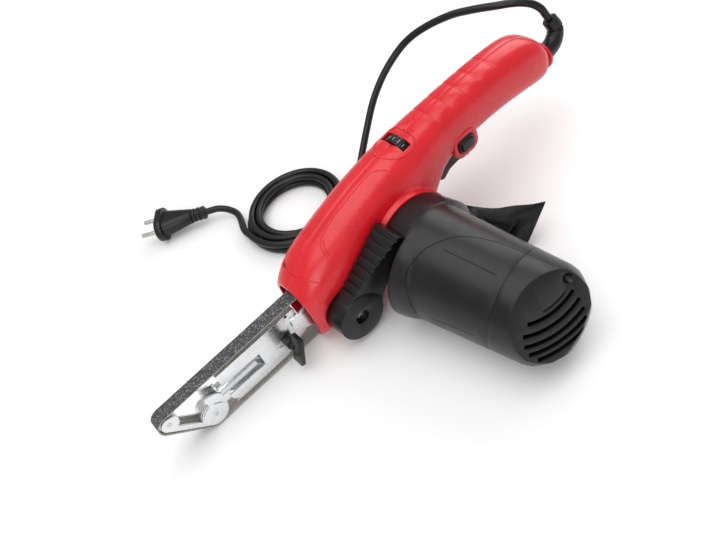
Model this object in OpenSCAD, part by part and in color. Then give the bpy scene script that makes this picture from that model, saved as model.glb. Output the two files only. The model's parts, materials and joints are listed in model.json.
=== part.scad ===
// Corded belt file: a two-half housing with a curved handle, a motor that stands out to the left,
// and a slim arm that carries a narrow abrasive belt over a drive wheel, a tip roller and an idler.
// X points along the arm to its tip, Y to the motor side, Z up. Sizes are millimetres.

/* [Abrasive belt and arm] */
// Width of the abrasive belt
belt_w = 13; // [9:0.5:20]
// Thickness of the abrasive belt
belt_t = 1; // [0.6:0.1:1.6]
// Radius of the drive wheel
drive_r = 25.2; // [20:0.1:27]
// Height of the drive axis above the floor
drive_z = 27; // [27:0.5:34]
// Distance from the drive axis forward to the tip roller
tip_x = 166.5; // [150:0.5:185]
// Height of the tip roller's axis
tip_z = 40.7; // [36:0.1:46]
// Radius of the tip roller
tip_r = 8.5; // [7:0.1:10]
// Distance from the drive axis forward to the idler roller
idler_x = 135.8; // [125:0.1:140]
// Radius of the idler roller
idler_r = 12.7; // [10:0.1:14]
// Thickness of the arm's side plates
cheek_t = 1.6; // [1:0.1:2.5]
// Inside width between the arm's side plates
arm_gap_w = 9.6; // [7:0.1:12]

/* [Housing] */
// Length of the housing from its front lip to the end of the handle
body_l = 302; // [280:1:330]
// Height of the handle's ridge above the floor
body_h = 112.5; // [105:0.5:125]
// Width of the housing at its widest place
body_w = 60; // [56:1:70]
// Wall thickness of the housing
wall = 2.8; // [2:0.1:4]
// Distance from the drive axis forward to the housing's lip
lip_x = 30; // [29:0.5:34]
// Thickness of the cover on the right side
cover_t = 3; // [2:0.1:4]

/* [Motor] */
// Distance from the drive axis back to the motor axis
motor_back = 78; // [75:0.5:90]
// Radius of the motor barrel where its end cap begins
motor_r = 41; // [39:0.1:45]
// Distance from the housing's side to the start of the motor collar
collar_stand = 3.4; // [2:0.1:8]
// Distance from the belt's mid plane to the end of the motor
motor_end_y = 190; // [180:1:205]
// Wall thickness of the motor housing
motor_wall = 3; // [2:0.1:4]
// Radius of the rotor shaft
rotor_shaft_r = 4; // [3:0.1:5]

/* [Controls] */
// Radius of the swivel lever's hub
hub_r = 21.6; // [18:0.1:24]
// Length of the swivel lever from its hub axis to its end
lever_l = 76; // [60:1:90]
// Distance from the belt's mid plane to the outer side of the lever's end
lever_out_y = 58.5; // [50:0.1:66]
// Distance from the belt's mid plane to the outer face of the lever hub
hub_face_y = 46.6; // [44:0.1:52]
// Radius of the speed dial
dial_r = 14; // [12:0.1:16]
// Length of the trigger
trigger_l = 38; // [30:1:46]
// Thickness of the lock button behind its face
button_t = 11; // [8:0.5:14]

/* [Cord] */
// Diameter of the cord
cord_d = 7; // [6:0.1:8]
// Length of a plug pin
pin_l = 19; // [17:0.1:20]
// Radius of a plug pin
pin_r = 2.4; // [2:0.05:2.5]
// Distance between the plug pins
pin_spacing = 19; // [18:0.1:20]

/* [Hidden] */
$fn = 48;

// Clearances: in a running fit, of a seated piece, between neighbours, and the overrun of every cut
run_fit = 0.05;
seat = 0.02;
near = 0.3;
free = 0.6;
over = 1;
mesh_fn = 28;
round_fn = 64;

// The belt's path, on circles round the drive wheel, the idler and the tip roller
belt_add = near + belt_t;
idler_z = idler_r + belt_add;
drive_p = [0, drive_z];
tip_p = [tip_x, tip_z];
idler_p = [idler_x, idler_z];
wheel_w = belt_w + free;

// The motor axis stands so that barrel and belt rest on one floor
motor_lift = 0.2;
cap_l = 46;
motor_x = -motor_back;
motor_z = motor_r + motor_lift;
motor_p = [motor_x, motor_z];
ring_y = motor_end_y - cap_l;

// Housing sections: length back from the lip, ridge height, underside height and half width,
// as shares of the housing's length, height and width
body_shares = [
    [0.000, 0.545, 0.045, 0.400],
    [0.022, 0.607, 0.030, 0.452],
    [0.073, 0.709, 0.022, 0.490],
    [0.166, 0.802, 0.022, 0.500],
    [0.248, 0.870, 0.027, 0.500],
    [0.305, 0.908, 0.036, 0.499],
    [0.360, 0.936, 0.062, 0.494],
    [0.401, 0.955, 0.110, 0.482],
    [0.450, 0.962, 0.210, 0.456],
    [0.497, 0.974, 0.370, 0.424],
    [0.546, 0.982, 0.500, 0.388],
    [0.600, 0.990, 0.556, 0.362],
    [0.680, 0.998, 0.578, 0.352],
    [0.760, 1.000, 0.580, 0.350],
    [0.840, 0.995, 0.566, 0.356],
    [0.910, 0.976, 0.545, 0.366],
    [0.955, 0.940, 0.530, 0.366],
    [0.985, 0.885, 0.538, 0.345],
    [1.000, 0.830, 0.580, 0.290]
];
section_n = 32;
section_power_share = 0.76;
rear_x = lip_x - body_l;

// Places of the skin's sections along the housing, and of the grip grooves across the handle's top
front_shares = [
    0, 0.008, 0.022, 0.044, 0.073, 0.118, 0.166, 0.207, 0.248, 0.277, 0.305, 0.333,
    0.360, 0.380, 0.401, 0.425, 0.450, 0.474, 0.497, 0.520, 0.546
];
grip_shares = [0.576, 0.6325, 0.692, 0.748, 0.808];
rear_shares = [0.840, 0.875, 0.910, 0.935, 0.955, 0.972, 0.985, 0.994, 1.000];
groove_share = 0.006;
groove_floor_share = 0.002;
groove_depth = 0.9;

// Smooth curve through hand-placed points, with extra points between them
function spline_at(a, b, c, d, t) =
    0.5 * (2 * b + (c - a) * t + (2 * a - 5 * b + 4 * c - d) * t * t + (3 * b - a - 3 * c + d) * t * t * t);
function smooth(p, m) = concat(
    [for (i = [0 : len(p) - 2]) for (k = [0 : m - 1])
        spline_at(p[max(0, i - 1)], p[i], p[i + 1], p[min(len(p) - 1, i + 2)], k / m)],
    [p[len(p) - 1]]);

// Heights, half width and place of the housing at any share of its length
body_table = smooth(body_shares, 4);
function table_at(s, k) = lookup(s, [for (b = body_table) [b[0], b[k]]]);
function ridge_at(s) = body_h * table_at(s, 1);
function belly_at(s) = body_h * table_at(s, 2);
function half_at(s) = body_w * table_at(s, 3);
function place_x(s) = lip_x - s * body_l;
function housing_p(s) = [place_x(s[0]), belly_at(s[0]) + s[1] * (ridge_at(s[0]) - belly_at(s[0]))];

// The round seat for the motor on the left half, and its rear cord boss with a flange
seat_step = 0.3;
collar_y = body_w / 2 + collar_stand;
seat_r = motor_r - seat_step;
seat_y = collar_y - motor_lift;
boss_r = 11;
boss_l = 11;
boss_root = 4;
flange_t = 2.4;
flange_rim = 1.8;
boss_height_share = 0.62;
boss_z = boss_height_share * body_h;
cord_exit_x = rear_x - boss_l;
cord_bore_r = 5.9;
cord_bore_l = 26;

// Overall extents, which set the origin under the middle of the object
front_x = tip_x + tip_r + belt_add;
cover_face_y = -(body_w / 2 + cover_t);
mid_x = (front_x + cord_exit_x) / 2;
mid_y = (motor_end_y + cover_face_y) / 2;

// Drive line, along Y
shaft_r = 5;
bearing_r = 11;
bearing_w = 7;
right_bearing_w = 6;
carrier_r = 14;
carrier_step = 3;
line_gap = 3;
pocket_depth = 5;
hub_y0 = body_w / 2 - pocket_depth;
carrier_y0 = wheel_w / 2 + free;
carrier_y1 = hub_y0 - line_gap;
left_bearing_y = carrier_y1 - bearing_w - line_gap;
right_bearing_y = cover_face_y + cover_t + seat;
pulley_y = right_bearing_y + right_bearing_w + line_gap;
pulley_w = -wheel_w / 2 - line_gap - pulley_y;
driven_r = 17.5;
driven_teeth = 36;
motor_pulley_r = 11;
motor_teeth = 22;
tooth_h = 1.1;
tooth_w = 1.4;
tooth_root = 0.4;
timing_t = 2.2;

// Arm
arm_half = arm_gap_w / 2;
arm_out_y = arm_half + cheek_t;
swivel_gap = 0.4;
swivel_plate_y = carrier_y0 + swivel_gap;
swivel_ring_w = 5;
arm_back_x = 36;
nose_back_l = 18;
nose_split_x = idler_x - nose_back_l;
rod_r = 6;
rod_z = 26;
rod_back_x = 74;
stem_r = 2.4;
spring_wire_r = 0.6;
spring_turns = 9;
pin_small_r = 2;

// Swivel lever
pocket_gap = 1.4;
pocket_r = hub_r + pocket_gap;
hub_hole_r = 6.3;
hub_hole_depth = 9;
stud_r = 4;
lever_angle = 133;
lever_w = 14;
lever_gap = 1.2;

// Controls, at shares of the housing's length and height
trigger_share = 0.606;
trigger_drop = 2.7;
trigger_x = place_x(trigger_share);
trigger_z = belly_at(trigger_share) - trigger_drop;
trigger_w = 15;
trigger_t = 18;
trigger_pin_r = 1.5;
pivot_back = 8;
pivot_rise = 5;
trigger_pivot = [trigger_x + trigger_l / 2 - pivot_back, trigger_z + pivot_rise];
trigger_pin_over = 4;
trigger_pin_half = trigger_w / 2 + trigger_pin_over;
mouth_inset = 4;
mouth_gap = 2.5;
mouth_rise = 12;
button_shares = [0.6325, 0.176];
button_p = housing_p(button_shares);
button_l = 18;
button_h = 13;
button_round = 4;
button_gap = 0.6;
button_travel = 3;
frame_rim = 4.5;
frame_stand = 0.6;
button_face_y = half_at(button_shares[0]) + frame_stand;
dial_share = 0.4636;
dial_stand = 1.2;
dial_x = place_x(dial_share);
dial_z = ridge_at(dial_share) - dial_r + dial_stand;
dial_w = 8;
dial_gap = 0.6;
dial_shaft_r = 2.5;
dish_r = 26;
dish_l = 6;
dish_depth = 2.6;

// Cord route: points chosen by hand, in millimetres, from the drive axis
sleeve_route = [
    [-283.2, 0, 69.7], [-287, 0, 69.7], [-291, 0, 69.7], [-298, -0.3, 71.5], [-303.5, -1, 76.5],
    [-305.6, -2, 82], [-305, -3, 86], [-304, -4, 89], [-303, -5, 92]
];
lead_route = [
    [-302.94, -5.06, 92.2], [-301, -7, 98.2], [-299, -9, 104.2], [-294.5, -13, 110.5], [-288, -18.5, 115],
    [-280, -26, 117.5], [-272, -35, 118], [-265, -46, 117.5], [-259, -57, 116], [-253, -68, 114],
    [-246, -79, 110.5], [-237, -91, 105.5],
    [-226, -103, 98.5], [-213, -112, 89], [-192, -117, 74.5], [-170, -115.5, 59], [-149.5, -109.5, 43],
    [-128, -100.5, 28], [-108, -91, 15.5], [-90, -82.5, 7], [-77, -77.5, 4], [-70, -76, 3.6],
    [-63.5, -76, 3.6], [-57.2, -76, 3.6]
];
coil_c = [-50, -128];
tail_route = [
    [2, -135.2, 11.2], [2, -139, 11.2], [2, -143, 11.2], [0.5, -150, 10.8], [-2.5, -158, 10],
    [-6, -167, 9.2], [-8, -176, 9],
    [-7, -183.8, 9.8], [-4, -191, 11.2], [0.8, -197.2, 12.6], [4, -200, 13], [8, -203, 13], [11.8, -205.85, 13]
];
coil_r = 52;
coil_pitch = 8;
coil_turns = 4.25;
coil_lift = 7.6;
coil_z = 3.6;
coil_rings = 24;
plug_p = [12, -206, 13];
plug_turn = atan2(-3, 4);

// Geometry helpers
function unit(v) = v / norm(v);
function turn_of(v) = atan2(v[1], v[0]);
function after(a, b) = b < a ? b + 360 : b;

// Direction from a circle's centre to its outer tangent with the next circle, going round to the left
function tangent_turn(a, ra, b, rb) =
    let (d = b - a, l = norm(d), u = d / l, s = (ra - rb) / l, c = sqrt(1 - s * s))
    turn_of([u[1] * c + u[0] * s, -u[0] * c + u[1] * s]);

arc_steps = 20;
// Points of an arc, both ends included
function arc_points(c, r, a, b) = [for (i = [0 : arc_steps]) let (t = a + (b - a) * i / arc_steps)
    c + r * [cos(t), sin(t)]];

// Closed outline round three circles that lie in leftward order
function belt_outline(p, r) =
    let (t = [for (i = [0 : 2]) tangent_turn(p[i], r[i], p[(i + 1) % 3], r[(i + 1) % 3])])
    [for (i = [0 : 2]) each arc_points(p[i], r[i], t[(i + 2) % 3], after(t[(i + 2) % 3], t[i]))];

// Closed outline round two circles
function pair_outline(a, ra, b, rb) =
    let (t0 = tangent_turn(a, ra, b, rb), t1 = tangent_turn(b, rb, a, ra))
    concat(arc_points(b, rb, t0, after(t0, t1)), arc_points(a, ra, t1, after(t1, t0)));

// Shapes that stand along Y or X: a round bar, a tube, a plate with an outline, and a turned solid
module bar_y(p, y0, y1, r) translate([p[0], y0, p[1]]) rotate([-90, 0, 0]) cylinder(h = y1 - y0, r = r);
module bar_x(p, x0, x1, r) translate([x0, p[0], p[1]]) rotate([0, 90, 0]) cylinder(h = x1 - x0, r = r);
module tube_y(p, y0, y1, r, bore) {
    difference() {
        bar_y(p, y0, y1, r);
        bar_y(p, y0 - over, y1 + over, bore);
    }
}
module plate_y(y0, y1) translate([0, y1, 0]) rotate([90, 0, 0]) linear_extrude(y1 - y0) children();
module plate_x(x0, x1) translate([x0, 0, 0]) rotate([90, 0, 90]) linear_extrude(x1 - x0) children();
module turned_y(p) translate([p[0], 0, p[1]]) rotate([-90, 0, 0]) rotate_extrude() children();
module stadium(l, h) {
    square([l - h, h], center = true);
    for (s = [-1, 1]) translate([s * (l - h) / 2, 0]) circle(r = h / 2);
}
module round_box(l, h, r) {
    square([l, h - 2 * r], center = true);
    square([l - 2 * r, h], center = true);
    for (a = [-1, 1]) for (b = [-1, 1]) translate([a * (l / 2 - r), b * (h / 2 - r)]) circle(r = r);
}
module box_between(a, b) translate(a) cube(b - a);

// One housing section: a rounded ring of points, drawn in by an inset, with a dip across its top
function round_power(v) = sign(v) * pow(abs(v), section_power_share);
function section_ring(s, inset, dip) =
    let (top = ridge_at(s) - inset, low = belly_at(s) + inset, half = half_at(s) - inset, mid = (top + low) / 2)
    [for (i = [0 : section_n - 1]) let (a = 360 * (i + 0.5) / section_n)
        [place_x(s), half * round_power(cos(a)),
            mid + (top - low) / 2 * round_power(sin(a)) - dip * max(0, sin(a))]];

// Faces of a loft through rings of equal count, closed at both ends
function loft_faces(rings, n) = concat(
    [for (k = [0 : rings - 2]) for (i = [0 : n - 1]) let (j = (i + 1) % n) each [
        [k * n + i, k * n + j, (k + 1) * n + i], [k * n + j, (k + 1) * n + j, (k + 1) * n + i]]],
    [for (i = [1 : n - 2]) [0, i + 1, i]],
    [for (i = [1 : n - 2]) [(rings - 1) * n, (rings - 1) * n + i, (rings - 1) * n + i + 1]]);

module loft(rings) polyhedron([for (r = rings) each r], loft_faces(len(rings), len(rings[0])));

// Housing skin with its grip grooves, and the hollow inside it
skin_rings = concat(
    [for (s = front_shares) section_ring(s, 0, 0)],
    [for (g = grip_shares) each [
        section_ring(g - groove_share, 0, 0), section_ring(g - groove_floor_share, 0, groove_depth),
        section_ring(g + groove_floor_share, 0, groove_depth), section_ring(g + groove_share, 0, 0)]],
    [for (s = rear_shares) section_ring(s, 0, 0)]);
module body_skin() loft(skin_rings);
module body_hollow() {
    intersection() {
        loft([for (b = body_shares) section_ring(b[0], wall, 0)]);
        box_between([rear_x + wall, -body_w, 0], [lip_x + over, body_w, body_h]);
    }
}

// Screws along the housing, at shares of its length and height
screw_shares = [
    [0.0464, 0.92], [0.2318, 0.867], [0.5497, 0.73], [0.5033, 0.28], [0.7483, 0.482], [0.9404, 0.673]
];
screw_p = [for (s = screw_shares) housing_p(s)];
screw_r = 1.7;
screw_gap = 0.2;
screw_boss_r = 4.4;
screw_head_r = 3.2;
screw_head_t = 2.4;
screw_head_gap = 0.4;
screw_reach = 11;

// A screw boss with a rib beside it
module screw_boss(p, y0, y1) {
    hull() {
        bar_y(p, y0, y1, screw_boss_r, $fn = mesh_fn);
        bar_y(p + [screw_boss_r, 0], y0, y1, screw_boss_r / 2, $fn = mesh_fn);
    }
}

// Oval mouth along X
module oval_z(x0, x1, r, z0, z1) {
    hull() {
        for (x = [x0, x1]) translate([x, 0, z0]) cylinder(h = z1 - z0, r = r, $fn = mesh_fn);
    }
}

// Openings that both halves share: belt slot, trigger mouth, pin seat, dial slot and dish, cord bore
slot_side = 5.4;
slot_half = wheel_w / 2 + slot_side;
slot_back_x = -36;
slot_rise = 8;
slot_top_z = tip_z + tip_r + slot_rise;
lip_wall_back = 6;
module shared_cuts() {
    box_between([slot_back_x, -slot_half, -over], [lip_x + over, slot_half, slot_top_z]);
    oval_z(
        trigger_x - trigger_l / 2 + mouth_inset, trigger_x + trigger_l / 2 - mouth_inset,
        trigger_w / 2 + mouth_gap, 0, trigger_z + mouth_rise);
    bar_y(
        trigger_pivot, -trigger_pin_half - seat, trigger_pin_half + seat, trigger_pin_r + seat, $fn = mesh_fn);
    box_between(
        [dial_x - dial_w / 2 - dial_gap, -dial_r, dial_z - dial_r - over],
        [dial_x + dial_w / 2 + dial_gap, dial_r, body_h]);
    hull() {
        for (s = [-1, 1]) translate([dial_x + s * dish_l, 0, dial_z + dial_r - dish_depth + dish_r])
            sphere(r = dish_r, $fn = mesh_fn);
    }
    bar_x([0, boss_z], cord_exit_x - over, cord_exit_x + cord_bore_l, cord_bore_r, $fn = mesh_fn);
}

module cord_boss() {
    bar_x([0, boss_z], cord_exit_x, rear_x + wall + boss_root, boss_r, $fn = mesh_fn);
    bar_x([0, boss_z], cord_exit_x, cord_exit_x + flange_t, boss_r + flange_rim, $fn = mesh_fn);
}

// Outline round the lock button, at a distance
module button_hole(a) translate(button_p)
    round_box(button_l + 2 * a, button_h + 2 * a, button_round + a, $fn = mesh_fn);

module housing_left() {
    color([0.86, 0.13, 0.16])
    difference() {
        intersection() {
            union() {
                difference() {
                    union() {
                        body_skin();
                        cord_boss();
                        bar_y(motor_p, 0, seat_y, seat_r, $fn = round_fn);
                        plate_y(0, button_face_y) button_hole(frame_rim);
                    }
                    body_hollow();
                    bar_y(motor_p, -over, seat_y - wall, seat_r - wall, $fn = round_fn);
                }
                intersection() {
                    union() {
                        for (p = screw_p) screw_boss(p, 0, seat_y);
                        box_between(
                            [slot_back_x - wall, slot_half, 0],
                            [lip_x - lip_wall_back, slot_half + wall, body_h]);
                    }
                    union() {
                        body_skin();
                        bar_y(motor_p, 0, seat_y, seat_r, $fn = round_fn);
                    }
                }
            }
            box_between([cord_exit_x - over, 0, 0], [lip_x + over, body_w, body_h + over]);
        }
        shared_cuts();
        bar_y(drive_p, hub_y0, body_w, pocket_r, $fn = round_fn);
        bar_y(drive_p, 0, body_w, carrier_r + screw_gap, $fn = round_fn);
        plate_y(button_face_y - button_t - button_travel, body_w / 2) button_hole(button_gap);
        bar_y(motor_p, 0, body_w, bracket_r + over, $fn = round_fn);
        for (p = screw_p) bar_y(p, -over, screw_reach + over, screw_r + run_fit, $fn = mesh_fn);
    }
}

belt_room = 6;
pulley_room = 8;
cover_screw_l = 4;
module housing_right() {
    color([0.86, 0.13, 0.16])
    difference() {
        intersection() {
            union() {
                difference() {
                    union() {
                        body_skin();
                        cord_boss();
                    }
                    body_hollow();
                }
                intersection() {
                    union() {
                        for (p = screw_p) screw_boss(p, -body_w / 2, 0);
                    }
                    body_skin();
                }
            }
            box_between([cord_exit_x - over, -body_w, 0], [lip_x + over, 0, body_h + over]);
        }
        shared_cuts();
        plate_y(-body_w, -slot_half) cover_outline(0);
        for (p = cover_screw_p)
            bar_y(p, -body_w, cover_face_y + cover_t + cover_screw_l, screw_r + run_fit, $fn = mesh_fn);
        for (p = screw_p) {
            bar_y(p, -body_w, -screw_reach, screw_head_r + screw_head_gap, $fn = mesh_fn);
            bar_y(p, -body_w, over, screw_r + screw_gap, $fn = mesh_fn);
        }
    }
}

// Flat cover over the timing belt, on the right side, with a rim that stands inside the housing
cover_side = 21;
cover_ahead = 10;
cover_corner = 13;
cover_screw_p = [
    drive_p + [cover_ahead, cover_side], drive_p + [cover_ahead, -cover_side],
    motor_p + [-cover_corner, cover_corner], motor_p + [-cover_corner, -cover_corner]
];
cover_lap = 3;
rim_gap = 0.4;
rim_t = 1.8;
cover_edge = 1;
module cover_outline(a)
    polygon(pair_outline(drive_p, driven_r + belt_room + a, motor_p, motor_pulley_r + pulley_room + a));
module belt_cover() {
    color([0.17, 0.17, 0.18])
    difference() {
        union() {
            plate_y(cover_face_y, cover_face_y + cover_edge) cover_outline(cover_lap - cover_edge);
            plate_y(cover_face_y + cover_edge, cover_face_y + cover_t) cover_outline(cover_lap);
            plate_y(cover_face_y + cover_t, -slot_half - over) difference() {
                cover_outline(-rim_gap);
                cover_outline(-rim_gap - rim_t);
            }
        }
        for (p = cover_screw_p) bar_y(p, cover_face_y - over, 0, screw_r + screw_gap);
    }
}

// Seat of the drive shaft's right bearing, pressed on the cover
seat_wall = 2.4;
module cover_bearing_seat() {
    color("silver")
    tube_y(
        drive_p, right_bearing_y, right_bearing_y + right_bearing_w, bearing_r + seat_wall, bearing_r + seat);
}

// Turned sleeve that holds the left bearing and carries the arm's swivel ring
module bearing_carrier() {
    color("silver")
    difference() {
        union() {
            bar_y(drive_p, carrier_y0, carrier_y1, carrier_r);
            bar_y(drive_p, carrier_y1, hub_y0 - near, carrier_r - carrier_step);
        }
        bar_y(drive_p, carrier_y0 - over, left_bearing_y + bearing_w, bearing_r + seat);
    }
}

module drive_bearings() {
    color("lightgray") {
        tube_y(drive_p, left_bearing_y, left_bearing_y + bearing_w - seat, bearing_r, shaft_r + run_fit);
        tube_y(drive_p, right_bearing_y, right_bearing_y + right_bearing_w, bearing_r, shaft_r + run_fit);
    }
}

shaft_short = 0.5;
module drive_shaft() {
    color("silver")
    bar_y(drive_p, right_bearing_y + shaft_short, left_bearing_y + bearing_w - shaft_short, shaft_r);
}

// Drive wheel: a rim and a hub joined by a thinner web
web_depth = 3;
rim_w = 4;
hub_wall = 5;
module drive_wheel() {
    color([0.2, 0.2, 0.21])
    difference() {
        bar_y(drive_p, -wheel_w / 2, wheel_w / 2, drive_r);
        bar_y(drive_p, -wheel_w / 2 - over, wheel_w / 2 + over, shaft_r + seat);
        tube_y(drive_p, -wheel_w / 2 - over, -wheel_w / 2 + web_depth, drive_r - rim_w, shaft_r + hub_wall);
        tube_y(drive_p, wheel_w / 2 - web_depth, wheel_w / 2 + over, drive_r - rim_w, shaft_r + hub_wall);
    }
}

// Pulley with straight teeth
module toothed_pulley(p, r, teeth, bore) {
    difference() {
        union() {
            bar_y(p, pulley_y, pulley_y + pulley_w, r);
            for (i = [0 : teeth - 1]) translate([p[0], pulley_y, p[1]]) rotate([0, 360 * i / teeth, 0])
                translate([r - tooth_root, 0, -tooth_w / 2]) cube([tooth_h, pulley_w, tooth_w]);
        }
        bar_y(p, pulley_y - over, pulley_y + pulley_w + over, bore);
    }
}

module driven_pulley() {
    color("dimgray")
    toothed_pulley(drive_p, driven_r, driven_teeth, shaft_r + seat);
}

module motor_pulley() {
    color("dimgray")
    toothed_pulley(motor_p, motor_pulley_r, motor_teeth, rotor_shaft_r + seat);
}

module timing_outline(a) polygon(pair_outline(drive_p, driven_r + a, motor_p, motor_pulley_r + a));
module timing_belt() {
    color([0.12, 0.12, 0.12])
    plate_y(pulley_y + free, pulley_y + pulley_w - free) difference() {
        timing_outline(tooth_h + timing_t);
        timing_outline(tooth_h);
    }
}

// Motor shell: its barrel leans back round the straight rotor and tapers to its end, along the floor
barrel_lean = 8.83;
barrel_taper_share = 0.0615;
barrel_tilt = asin(barrel_taper_share);
barrel_shift = 22.1;
barrel_lift = 0.1;
function along(y) = y / cos(barrel_lean) / cos(barrel_tilt);
ring_s = along(ring_y);
function barrel_at(s) = motor_r + (ring_s - s) * barrel_taper_share;
module in_barrel() translate([motor_x + barrel_shift, 0, barrel_at(0) + barrel_lift])
    rotate([0, 0, barrel_lean]) rotate([-barrel_tilt, 0, 0]) children();

// Collar round the rotor axis, flared to its rim and flat below, with a chamfer band and a waist in the barrel
collar_step = 1.4;
collar_r = motor_r - collar_step;
collar_w = 24;
collar_flare = 3.4;
collar_rim_r = collar_r + collar_flare;
chamfer_w = 11;
waist_w = 12;
waist_run = 16;
neck_step = 2.2;
waist_step = 0.6;
waist_drop = 4;
neck_y0 = collar_y + collar_w;
neck_y1 = neck_y0 + chamfer_w;
neck_r = collar_r - neck_step;
waist_y1 = neck_y1 + waist_w;
waist_y2 = waist_y1 + waist_run;
function collar_outline(t, a, rim_r) = [
    [0, collar_y - a], [collar_r - t, collar_y - a], [rim_r - t, neck_y0], [neck_r - t, neck_y1],
    [neck_r - waist_step - t, waist_y1], [neck_r - waist_drop - t, waist_y2], [0, waist_y2]
];
// Barrel, and a fuller front behind the lever: distance behind the barrel's front and drop below its radius
front_gap = 3;
front_s = along(lever_out_y + front_gap);
front_edge = 1.6;
bulge_shift = 6;
bulge_steps = [[0, 3.4], [1.6, 2], [8, 2.2], [15, 3.4], [21, 5.6], [26, 8.6]];
bulge_l = bulge_steps[len(bulge_steps) - 1][0];
module motor_housing() {
    color([0.16, 0.16, 0.17])
    difference() {
        union() {
            turned_y(motor_p) polygon(collar_outline(0, 0, collar_rim_r));
            in_barrel() turned_y([0, 0]) polygon([
                [0, front_s], [barrel_at(front_s) - front_edge, front_s],
                [barrel_at(front_s + front_edge), front_s + front_edge],
                [motor_r, ring_s], [0, ring_s]
            ]);
            in_barrel() turned_y([bulge_shift, 0]) polygon(concat(
                [[0, front_s]],
                [for (b = bulge_steps) [barrel_at(front_s + b[0]) - b[1], front_s + b[0]]],
                [[0, front_s + bulge_l]]
            ));
        }
        turned_y(motor_p) polygon(collar_outline(motor_wall, over, collar_r));
        box_between([motor_x - collar_rim_r, 0, -motor_r], [motor_x + collar_rim_r, motor_end_y, motor_lift]);
        in_barrel() turned_y([0, 0]) polygon([
            [0, front_s + motor_wall], [barrel_at(front_s) - motor_wall, front_s + motor_wall],
            [motor_r - motor_wall, ring_s + over], [0, ring_s + over]
        ]);
    }
}

// End cap: a closed dome with an oblique face, arched vents in that face, and two screw wells
cap_gap = 0.2;
cap_s0 = ring_s + cap_gap;
shoulder_l = 24;
shoulder_s = ring_s + shoulder_l;
shoulder_r = barrel_at(shoulder_s);
dome_steps = [[0, 0], [1.4, 5.5], [4.4, 10], [9.6, 16.5], [17.6, 22]];
dome_l = 25;
face_turn = 18.5;
face_rise = 28.7;
face_back = 8.7;
face_s = shoulder_s + dome_l - face_back;
face_wall = 4;
face_fall_share = 0.667;
cavity_s = face_s - face_wall;
cavity_r = shoulder_r - motor_wall;
cap_screw_p = [[-18.2, 27.1], [18.2, -27.1]];
cap_screw_r = 2.2;
cap_head_r = 3.6;
cap_head_t = 3;
cap_well_r = 3.9;
cap_post_r = 5;
cap_post_s = cap_s0 + 2 * cap_head_t;
cap_head_s = shoulder_s - cap_head_t;
rear_bearing_r = 8;
rear_seat_wall = 3;
rear_seat_l = 21;
// Vents: arcs round one centre in the oblique face, with radius, first and last turn, and width
vent_c = [8, 64];
vent_radii = [50, 58.5, 66.3, 72.8, 78.6];
vent_turns = [[-117, -67], [-115, -63], [-112, -64], [-109, -67], [-104, -72]];
vent_w = 3.2;
vent_depth = 7;
line_r = 44;
line_turns = [-112, -84];
line_w = 1;
function vent_outline(r, w, t) =
    concat(arc_points(vent_c, r, t[0], t[1]), arc_points(vent_c, r - w, t[1], t[0]));
module in_face() in_barrel() translate([0, face_s, 0])
    rotate([0, 0, -face_turn]) rotate([face_rise, 0, 0]) children();
module motor_end_cap() {
    color([0.16, 0.16, 0.17])
    difference() {
        union() {
            difference() {
                in_barrel() turned_y([0, 0]) polygon(concat(
                    [[0, cap_s0], [barrel_at(cap_s0), cap_s0]],
                    [for (d = dome_steps) [shoulder_r - d[0], shoulder_s + d[1]]],
                    [[0, shoulder_s + dome_l]]
                ));
                in_barrel() turned_y([0, 0]) polygon([
                    [0, cap_s0 - over], [cavity_r, cap_s0 - over],
                    [cavity_r, cavity_s - face_fall_share * cavity_r], [0, cavity_s]
                ]);
            }
            bar_y(motor_p, rear_bearing_y, rear_bearing_y + rear_seat_l, rear_bearing_r + rear_seat_wall);
            in_barrel() for (p = cap_screw_p) bar_y(p, cap_post_s, cap_head_s, cap_post_r);
        }
        in_face() box_between([-motor_end_y, 0, -motor_end_y], [motor_end_y, motor_end_y, motor_end_y]);
        box_between(
            [motor_x - motor_end_y, motor_end_y, -motor_end_y],
            [motor_x + motor_end_y, 2 * motor_end_y, motor_end_y]);
        bar_y(motor_p, rear_bearing_y - over, rotor_y1 + over, rear_bearing_r + seat);
        in_face() for (i = [0 : len(vent_radii) - 1]) plate_y(-vent_depth, over)
            polygon(vent_outline(vent_radii[i], vent_w, vent_turns[i]));
        in_face() plate_y(-line_w, over) polygon(vent_outline(line_r, line_w, line_turns));
        in_barrel() for (p = cap_screw_p) {
            bar_y(p, cap_post_s - over, cap_head_s + over, cap_screw_r + run_fit);
            bar_y(p, cap_head_s, motor_end_y + cap_l, cap_well_r);
        }
    }
}

// Rotor
rotor_lead = 1;
rotor_end = 21;
rotor_y0 = pulley_y - rotor_lead;
rotor_y1 = motor_end_y - rotor_end;
front_bearing_y = 14;
rear_bearing_back = 9;
rear_bearing_y = rotor_y1 - rear_bearing_back;
armature_r = 21;
armature_y0 = 74;
armature_y1 = 118;
armature_l = armature_y1 - armature_y0;
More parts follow.
